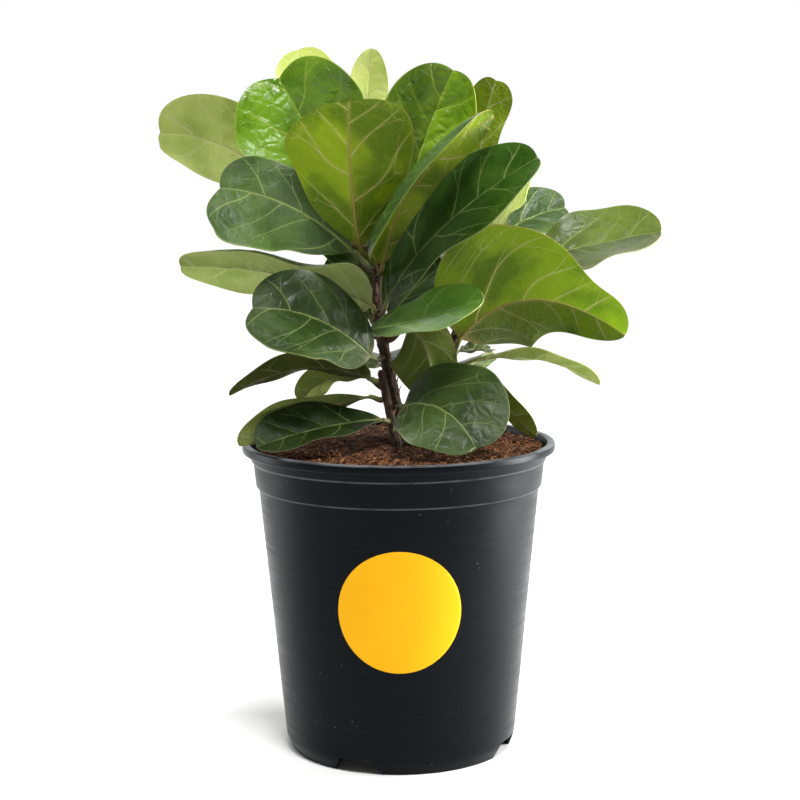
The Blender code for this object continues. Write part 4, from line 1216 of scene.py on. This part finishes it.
def make_leaf(name, leaf, materials, room):
    """A stalk and a blade in one closed body, with its places along and across it kept as UV layers."""
    spread = np.linspace(0.0, 1.0, BLADE_COLUMNS + 1) ** 1.25
    s = np.concatenate([-spread[:0:-1], spread])
    count = len(s)
    t = 1 - (1 - np.linspace(0, 1, BLADE_ROWS + 1)) ** 1.6
    upper, lower, (along, across), length = blade_faces(leaf, t, s)
    stalk, stalk_length = petiole_rings(leaf, PETIOLE_ROWS, count)
    rings = stalk + [np.concatenate([upper[row], lower[row][::-1]]) for row in range(len(t))]
    points = np.clip(np.concatenate(rings), *room)
    faces, skins, halves = leaf_skin(len(rings), count)
    obj = add_object(name + "_blade", points, faces, materials, sharp=50.0)
    obj.data.polygons.foreach_set("material_index", np.array(skins, np.int32))

    def whole(values, before):
        """A blade value for every point, with the stalk's rings given values of their own."""
        rows = [np.concatenate([row, row[::-1]]) for row in values]
        return np.concatenate([np.full(2 * count, v) for v in before] + rows)

    steps = np.linspace(-stalk_length, 0.0, len(stalk) + 1)[:-1]
    along_all, across_all = whole(along, steps), whole(across, np.zeros(len(stalk)))
    reach_all = whole(np.broadcast_to(np.abs(s), along.shape), np.zeros(len(stalk)))
    leaving = np.clip(1.0 - (t / 0.05), 0.0, 1.0)
    stalk_all = whole(np.broadcast_to(leaving[:, None], along.shape), np.ones(len(stalk)))
    corners = np.array([loop.vertex_index for loop in obj.data.loops])
    half_of = np.repeat(halves, 4)
    orders = {side: vein_order(leaf, along_all, across_all, length, side) for side in (-1, 1)}
    order = np.where(half_of < 0, orders[-1][0][corners], orders[1][0][corners])
    thin = VEIN_HALF_WIDTH * (1.0 - 0.55 * reach_all) * orders[1][1]
    set_uv(obj, "blade", along_all[corners] / 100, across_all[corners] / 100)
    set_uv(obj, "veins", order, thin[corners])
    set_uv(obj, "rim", reach_all[corners], stalk_all[corners])
    set_tints_and_painted_light(obj, name, along_all[corners] / length, half_of)
    return stand_in(obj, name)


def make_camera():
    camera = bpy.data.objects.new("camera", bpy.data.cameras.new("camera"))
    camera.data.lens = LENS
    camera.data.sensor_width = SENSOR_WIDTH
    camera.data.clip_end = 30.0
    turn = Matrix.Rotation(math.radians(90.0 - CAMERA_PITCH), 4, "X") @ Matrix.Rotation(
        math.radians(CAMERA_ROLL), 4, "Z")
    camera.matrix_world = Matrix.Translation(at_pot_axis(CAMERA_PLACE)) @ turn
    bpy.context.scene.collection.objects.link(camera)
    bpy.context.scene.camera = camera


def add_softbox(name, place, size, power, aim):
    light = bpy.data.lights.new(name, "AREA")
    light.shape = "RECTANGLE"
    light.size, light.size_y = size
    light.energy = power
    obj = bpy.data.objects.new(name, light)
    obj.location = place
    obj.rotation_euler = (Vector(aim) - Vector(place)).to_track_quat("-Z", "Y").to_euler()
    bpy.context.scene.collection.objects.link(obj)


def light_studio():
    """A high soft key from the front, tall soft lights at both sides and a broad one behind."""
    sun = bpy.data.lights.new("light_key", "SUN")
    sun.energy = KEY_POWER
    sun.angle = math.radians(KEY_ANGLE)
    key = bpy.data.objects.new("light_key", sun)
    key.rotation_euler = Vector(KEY_FROM).to_track_quat("Z", "Y").to_euler()
    bpy.context.scene.collection.objects.link(key)
    for name, box in SOFTBOXES.items():
        add_softbox(name, *box)
    world = bpy.data.worlds.new("studio")
    world.use_nodes = True
    nodes, links = world.node_tree.nodes, world.node_tree.links
    split = nodes.new("ShaderNodeSeparateXYZ")
    links.new(nodes.new("ShaderNodeTexCoord").outputs["Generated"], split.inputs[0])
    depth = nodes.new("ShaderNodeMapRange")
    depth.interpolation_type = "SMOOTHSTEP"
    for key, value in (("From Min", -0.2), ("From Max", 0.9), ("To Min", SKY_FRONT), ("To Max", SKY_BACK)):
        depth.inputs[key].default_value = value
    links.new(split.outputs["Y"], depth.inputs["Value"])
    background = nodes["Background"]
    background.inputs["Color"].default_value = (1.0, 1.0, 1.0, 1.0)
    links.new(depth.outputs["Result"], background.inputs["Strength"])
    bpy.context.scene.world = world
    bpy.context.scene.view_settings.view_transform = "Standard"


def make_floor():
    n = Nodes("floor_paper")
    grain = n.noise(n.place(), 6.0, 2.0)
    pale = n.blend(grain, 0.3, 0.7, (0.74, 0.74, 0.735), (0.76, 0.76, 0.755))
    n.finish(pale, 0.9, Specular_IOR_Level=0.1)
    mesh = bpy.data.meshes.new("floor")
    corners = [(x * FLOOR_REACH, y * FLOOR_REACH, 0) for x, y in ((-1, -1), (1, -1), (1, 1), (-1, 1))]
    mesh.from_pydata(corners, [], [(0, 1, 2, 3)])
    mesh.materials.append(n.material)
    floor = bpy.data.objects.new("floor", mesh)
    bpy.context.scene.collection.objects.link(floor)


def main():
    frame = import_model()
    cad_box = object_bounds()
    slots = {row["node"]: row["material_slot"] for row in frame["record"]["subparts"]}
    room = [np.array(corner) / MM - (*POT_AXIS, 0.0) for corner in cad_box]
    make_camera()
    light_studio()
    make_floor()
    bark, sheath, bud = make_bark_materials()
    make_pot(make_plastic_material())
    make_label(make_label_material())
    make_soil(*make_soil_materials(), slots)
    for seed, (name, stem) in enumerate(STEMS.items()):
        make_stem(name, stem, bark, seed)
        make_sheaths(name, stem, sheath, bud, seed)
    faces = {name: (make_upper_material(name, tone, DOMES[name]), make_under_material(name, tone))
             for name, tone in TONES.items()}
    dull_faces = {tone: (make_upper_material(tone + "_dull", TONES[tone], DOMES[tone], shine=0.14),
                         faces[tone][1]) for tone in ("old", "under")}
    for name, leaf in LEAVES.items():
        make_leaf(name, leaf, (dull_faces if name in DULL_LEAVES else faces)[leaf.tone], room)


main()
